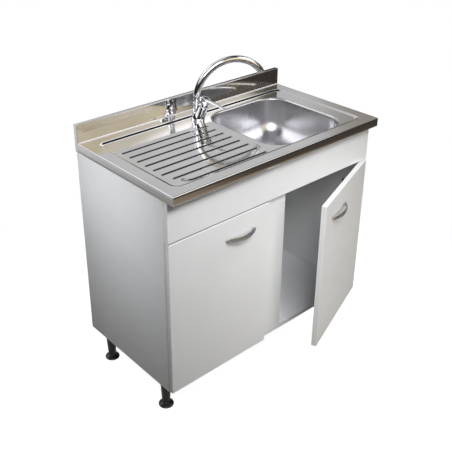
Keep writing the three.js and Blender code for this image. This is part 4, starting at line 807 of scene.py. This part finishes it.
def graded(tree, value, stops):
    """A colour ramp over -1 to 1 through (place, colour) stops."""
    lift = add(tree, "ShaderNodeMath", operation="MULTIPLY_ADD")
    lift.inputs[1].default_value = 0.5
    lift.inputs[2].default_value = 0.5
    tree.links.new(value, lift.inputs[0])
    node = add(tree, "ShaderNodeValToRGB")
    tree.links.new(lift.outputs[0], node.inputs["Fac"])
    elements = node.color_ramp.elements
    while len(elements) < len(stops):
        elements.new(0.5)
    for element, (place, color) in zip(elements, stops):
        element.position = place * 0.5 + 0.5
        element.color = (*color, 1)
    return node.outputs["Color"]


def chosen(tree, factor, first, second):
    mix = tree.nodes.new("ShaderNodeMixShader")
    tree.links.new(factor, mix.inputs["Fac"])
    tree.links.new(first, mix.inputs[1])
    tree.links.new(second, mix.inputs[2])
    return mix.outputs[0]


def glow(tree, kind, color):
    node = tree.nodes.new(kind)
    if hasattr(color, "node"):
        tree.links.new(color, node.inputs["Color"])
    else:
        node.inputs["Color"].default_value = (*color, 1)
    node.inputs["Strength"].default_value = 1.0
    return node.outputs[0]


def world_look():
    """No light of its own, surroundings for polished metal, and a plain white backdrop."""
    world = bpy.data.worlds.new("studio")
    bpy.context.scene.world = world
    world.use_nodes = True
    tree = world.node_tree
    tree.nodes.clear()
    out = tree.nodes.new("ShaderNodeOutputWorld")
    vector = tree.nodes.new("ShaderNodeTexCoord").outputs["Generated"]
    split = tree.nodes.new("ShaderNodeSeparateXYZ")
    tree.links.new(vector, split.inputs["Vector"])
    room = graded(tree, split.outputs["Z"], ROOM_BANDS)
    for row in ROOM_PATCHES:
        room = patch(tree, vector, room, *row)
    ray = tree.nodes.new("ShaderNodeLightPath")
    unseen = chosen(tree, ray.outputs["Is Glossy Ray"],
                    glow(tree, "ShaderNodeBackground", BLACK),
                    glow(tree, "ShaderNodeBackground", room))
    backdrop = glow(tree, "ShaderNodeBackground", WHITE)
    tree.links.new(chosen(tree, ray.outputs["Is Camera Ray"], unseen, backdrop),
                   out.inputs["Surface"])


def floor_look():
    """White with a faint shadow to the eye, dim in diffuse light and graded in reflections."""
    mat, tree, shader = node_tree("floor")
    shader.inputs["Base Color"].default_value = (0.02, 0.019, 0.017, 1)
    shader.inputs["Roughness"].default_value = 0.8
    coords = tree.nodes.new("ShaderNodeTexCoord")
    across = add(tree, "ShaderNodeVectorMath", operation="DOT_PRODUCT")
    across.inputs[1].default_value = FLOOR_ACROSS
    tree.links.new(coords.outputs["Object"], across.inputs[0])
    tone = graded(tree, across.outputs["Value"], FLOOR_BANDS)
    ray = tree.nodes.new("ShaderNodeLightPath")
    unseen = chosen(tree, ray.outputs["Is Glossy Ray"], shader.outputs[0],
                    glow(tree, "ShaderNodeEmission", tone))
    white = glow(tree, "ShaderNodeEmission", WHITE)
    distance = add(tree, "ShaderNodeVectorMath", operation="LENGTH")
    tree.links.new(coords.outputs["Object"], distance.inputs[0])
    near = smooth_range(tree, distance.outputs["Value"], SHADOW_FROM, SHADOW_TO)
    matt = add(tree, "ShaderNodeBsdfDiffuse", Color=(0.35, 0.35, 0.35, 1))
    shaded = tree.nodes.new("ShaderNodeAddShader")
    tree.links.new(glow(tree, "ShaderNodeEmission", (0.93, 0.93, 0.93)), shaded.inputs[0])
    tree.links.new(matt.outputs[0], shaded.inputs[1])
    pale = chosen(tree, near, white, shaded.outputs[0])
    tree.links.new(chosen(tree, ray.outputs["Is Camera Ray"], unseen, pale),
                   tree.nodes["Material Output"].inputs["Surface"])
    return mat


world_look()
floor_mesh = mesh_from("floor", [(x * FLOOR_HALF, y * FLOOR_HALF, FLOOR_Z)
                                 for x, y in ((-1, -1), (1, -1), (1, 1), (-1, 1))],
                       [(0, 1, 2, 3)], False)
floor = bpy.data.objects.new("floor", floor_mesh)
bpy.context.scene.collection.objects.link(floor)
floor.data.materials.append(floor_look())

# ---------------------------------------------------------------- lights
COOL, PLAIN, WARM = (0.94, 0.965, 1.0), (1.0, 1.0, 1.0), (1.0, 0.97, 0.90)
OPEN = math.pi  # the widest spread
# name, place, aimed at, size, watts, colour, spread; metal doesn't mirror these lamps
LIGHTS = [
    ("key", (-0.3, -1.05, 1.8), (0, -0.25, 0.75), (0.8, 0.4), 20, PLAIN, OPEN),
    ("front_top", (0.1, -0.75, 2.2), (0.1, -0.3, 0.4), (1.2, 0.4), 5, PLAIN, OPEN),
    ("fill", (-1.0, -1.4, 1.5), (0.25, -0.1, 0.15), (0.4, 0.4), 0.46, WARM, 1.0),
    ("low", (0.5, -1.7, 1.1), (0.4, -0.3, 0.2), (0.5, 0.5), 1.6, WARM, 1.1),
    ("inner", (-0.6, -2.1, 1.5), (0.2, 0.1, 0.3), (0.5, 0.5), 0.42, PLAIN, 0.7),
    ("side_high", (-1.1, -0.1, 1.9), (-0.45, 0, 0.8), (0.4, 0.5), 4, WARM, OPEN),
    ("side", (-1.3, 0.15, 1.35), (-0.45, 0.1, 0.75), (0.4, 0.4), 0.75, COOL, 0.9),
    ("side_back", (-0.95, 0.3, 1.2), (-0.45, 0.2, 0.6), (0.3, 0.5), 0.3, PLAIN, 1.2),
    ("right_back", (1.6, 1.7, 1.3), (0.2, 0.1, 0.45), (0.9, 0.9), 45, PLAIN, OPEN)]
for name, spot, target, size, watts, color, spread in LIGHTS:
    lamp = bpy.data.lights.new(name, "AREA")
    lamp.shape = "RECTANGLE"
    lamp.size, lamp.size_y = size
    lamp.energy = watts
    lamp.color = color
    lamp.spread = spread
    light = bpy.data.objects.new(name, lamp)
    bpy.context.scene.collection.objects.link(light)
    light.location = spot
    light.rotation_euler = (Vector(target) - Vector(spot)).to_track_quat("-Z", "Y").to_euler()
    light.visible_glossy = False

# ---------------------------------------------------------------- camera
# Solved from the photograph: its place in millimetres, its angles, and its focal length and
# the point it looks straight at in pixels of the photograph's frame.
EYE = (-1503.08, -1619.79, 1757.97)
AZ, EL, ROLL = math.radians(-41.50), math.radians(26.23), math.radians(0.18)
IMAGE, FOCAL, CENTRE_X, CENTRE_Y = 452, 721.80, 216.82, 178.56
SENSOR = 36.0
back = Vector((math.sin(AZ) * math.cos(EL), -math.cos(AZ) * math.cos(EL), math.sin(EL)))
side = Vector((0, 0, 1)).cross(back).normalized()
over = back.cross(side)
right_axis = side * math.cos(ROLL) + over * math.sin(ROLL)
up_axis = over * math.cos(ROLL) - side * math.sin(ROLL)
camera_data = bpy.data.cameras.new("camera")
camera = bpy.data.objects.new("camera", camera_data)
bpy.context.scene.collection.objects.link(camera)
turn = Matrix((right_axis, up_axis, back)).transposed().to_4x4()
camera.matrix_world = Matrix.Translation(at(*EYE)) @ turn
camera_data.sensor_width = SENSOR
camera_data.lens = FOCAL / IMAGE * SENSOR
camera_data.shift_x = (IMAGE / 2 - CENTRE_X) / IMAGE
camera_data.shift_y = (CENTRE_Y - IMAGE / 2) / IMAGE
bpy.context.scene.camera = camera
bpy.context.scene.view_settings.view_transform = "Standard"
